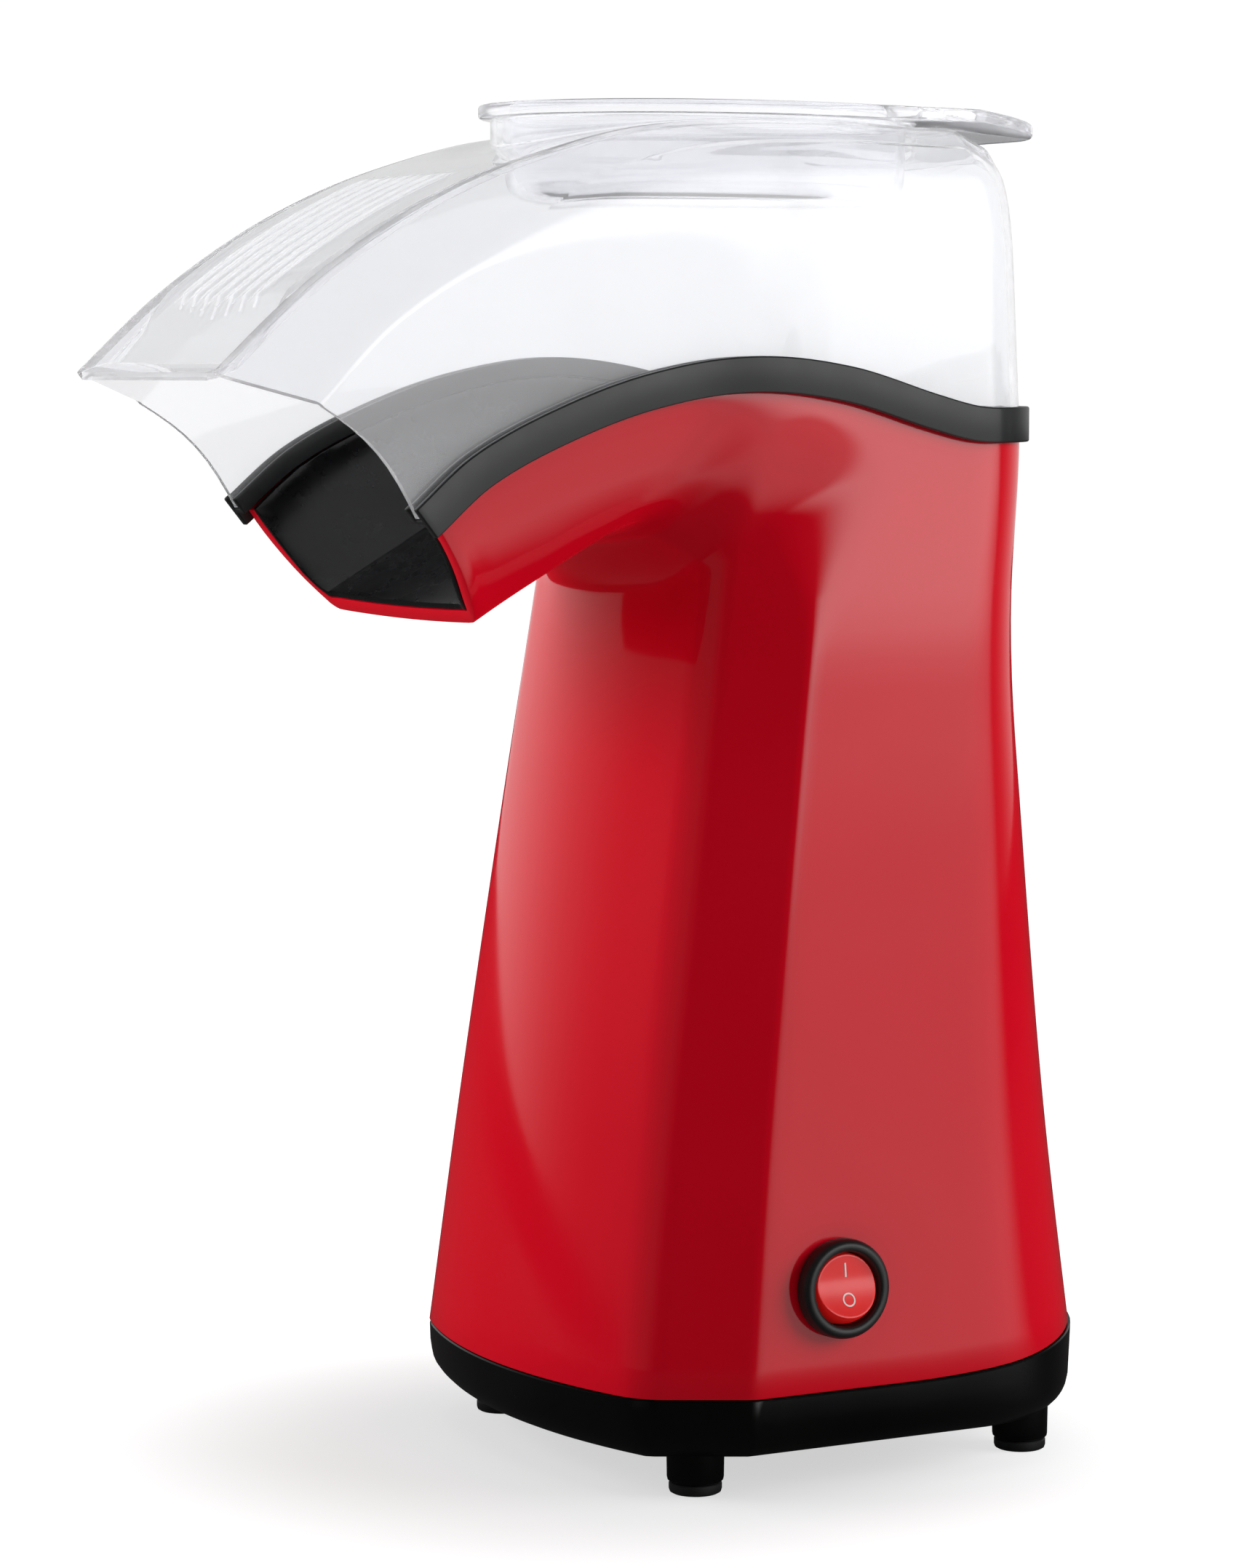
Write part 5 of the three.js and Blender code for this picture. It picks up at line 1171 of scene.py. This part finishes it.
def make_floor():
    """White seen straight, with a painted soft contact shadow where the emission dims near the object;
    mirrored, painted dark but for a painted glow at the side panel's foot.
    """
    size = 4.0
    corners = [(-size, -size, 0), (size, -size, 0), (size, size, 0), (-size, size, 0)]
    mesh = bpy.data.meshes.new("floor")
    mesh.from_pydata(corners, [], [(0, 1, 2, 3)])
    floor = bpy.data.objects.new("floor", mesh)
    bpy.context.scene.collection.objects.link(floor)
    n = Nodes("floor_white")
    path, mirrored = reflection_share(n.tree)
    away, direction = from_middle(n.tree, n.coords)
    pale = n.spread(n.noise(3, 2), 0.3, 0.32)
    # Painted shade in reflections: mirrored rays find the floor's colour dark.
    n.link(mix_value(n.tree, mirrored, pale, 0.04), n.shader.inputs["Base Color"])
    n.set(Roughness=0.8, Specular_IOR_Level=0.1, Emission_Color=(1, 1, 1, 1))
    # Painted contact shadow: seen straight, the floor's emission is dimmed near the object.
    seen = step_between(n.tree, away, 0.06, 0.2, 0.6, 1.02)
    # Painted glow, seen only in reflections, that stands in for the side panel's foot.
    beside = share_along(n.tree, direction, SIDE_PANEL, *PANEL_EDGE, 0.0, 1.0)
    far = step_between(n.tree, away, 0.1, 0.4, 0.0, 1.0)
    scattered = mix_value(n.tree, path.outputs["Is Diffuse Ray"], seen, 0.12)
    n.link(mix_value(n.tree, mirrored, scattered, combine(n.tree, "MULTIPLY", beside, far)),
           n.shader.inputs["Emission Strength"])
    mesh.materials.append(n.material)


def make_world():
    """White behind everything; mirrored rays find a dim room with a bright backdrop and a tall side panel."""
    world = bpy.data.worlds.new("studio")
    bpy.context.scene.world = world
    world.use_nodes = True
    world.cycles.sampling_method = "NONE"
    tree = world.node_tree
    back = tree.nodes["Background"]
    back.inputs["Color"].default_value = (1, 1, 1, 1)
    ray = tree.nodes.new("ShaderNodeTexCoord").outputs["Generated"]
    behind = (-math.sin(CAMERA_AZIMUTH), math.cos(CAMERA_AZIMUTH), 0)
    backdrop = share_along(tree, ray, behind, 0.1, 0.8, 0.13, 0.7)
    facing = share_along(tree, ray, tuple(-c for c in behind), 0.7, 0.93, 1.0, 0.06)
    overhead = share_along(tree, ray, (0, 0, 1), 0.2, 0.6, 1.0, 0.25)
    dimmed = combine(tree, "MULTIPLY", combine(tree, "MULTIPLY", backdrop, facing), overhead)
    beside = share_along(tree, ray, SIDE_PANEL, *PANEL_EDGE, 0.0, 1.0)
    rising = share_along(tree, ray, (0, 0, 1), 0.0, 0.12, 1.0, 3.2)
    panel = combine(tree, "MULTIPLY", beside, rising)
    room = combine(tree, "ADD", dimmed, panel)
    path, mirrored = reflection_share(tree)
    scattered = mix_value(tree, path.outputs["Is Diffuse Ray"], 1.02, 0.2)
    tree.links.new(mix_value(tree, mirrored, scattered, room), back.inputs["Strength"])


def make_lights():
    """Softboxes seen from the object's middle along their directions, left out of mirrored rays."""
    for name, direction, distance, radiance in LIGHTS:
        away = Vector(direction).normalized()
        data = bpy.data.lights.new(name, "AREA")
        data.shape = "RECTANGLE"
        data.size = LIGHT_SIZE
        data.size_y = LIGHT_SIZE
        data.energy = radiance * math.pi * LIGHT_SIZE * LIGHT_SIZE
        light = bpy.data.objects.new(name, data)
        light.location = Vector((0, 0, MIDDLE_Z)) + away * distance
        light.rotation_euler = (-away).to_track_quat("-Z", "Y").to_euler()
        light.visible_camera = False
        light.visible_transmission = False
        light.visible_glossy = False
        bpy.context.scene.collection.objects.link(light)


def make_camera():
    level = math.cos(CAMERA_PITCH)
    back = Vector((math.sin(CAMERA_AZIMUTH) * level, -math.cos(CAMERA_AZIMUTH) * level,
                   math.sin(CAMERA_PITCH)))
    data = bpy.data.cameras.new("camera")
    data.sensor_fit = "VERTICAL"
    data.sensor_height = SENSOR
    data.sensor_width = SENSOR
    data.lens = LENS
    camera = bpy.data.objects.new("camera", data)
    camera.location = Vector(to_row(CAMERA_AIM)) + back * CAMERA_DISTANCE
    camera.rotation_euler = (-back).to_track_quat("-Z", "Y").to_euler()
    bpy.context.scene.collection.objects.link(camera)
    bpy.context.scene.camera = camera


dress_cad()
make_camera()
make_housing()
make_liner()
make_band()
make_pan()
make_switch()
make_gland()
make_hood()
make_ribs()
make_cap()
make_floor()
make_world()
make_lights()
bpy.context.scene.view_settings.view_transform = "Standard"
for bounces in ("max_bounces", "glossy_bounces", "transmission_bounces"):
    setattr(bpy.context.scene.cycles, bounces, LIGHT_BOUNCES)
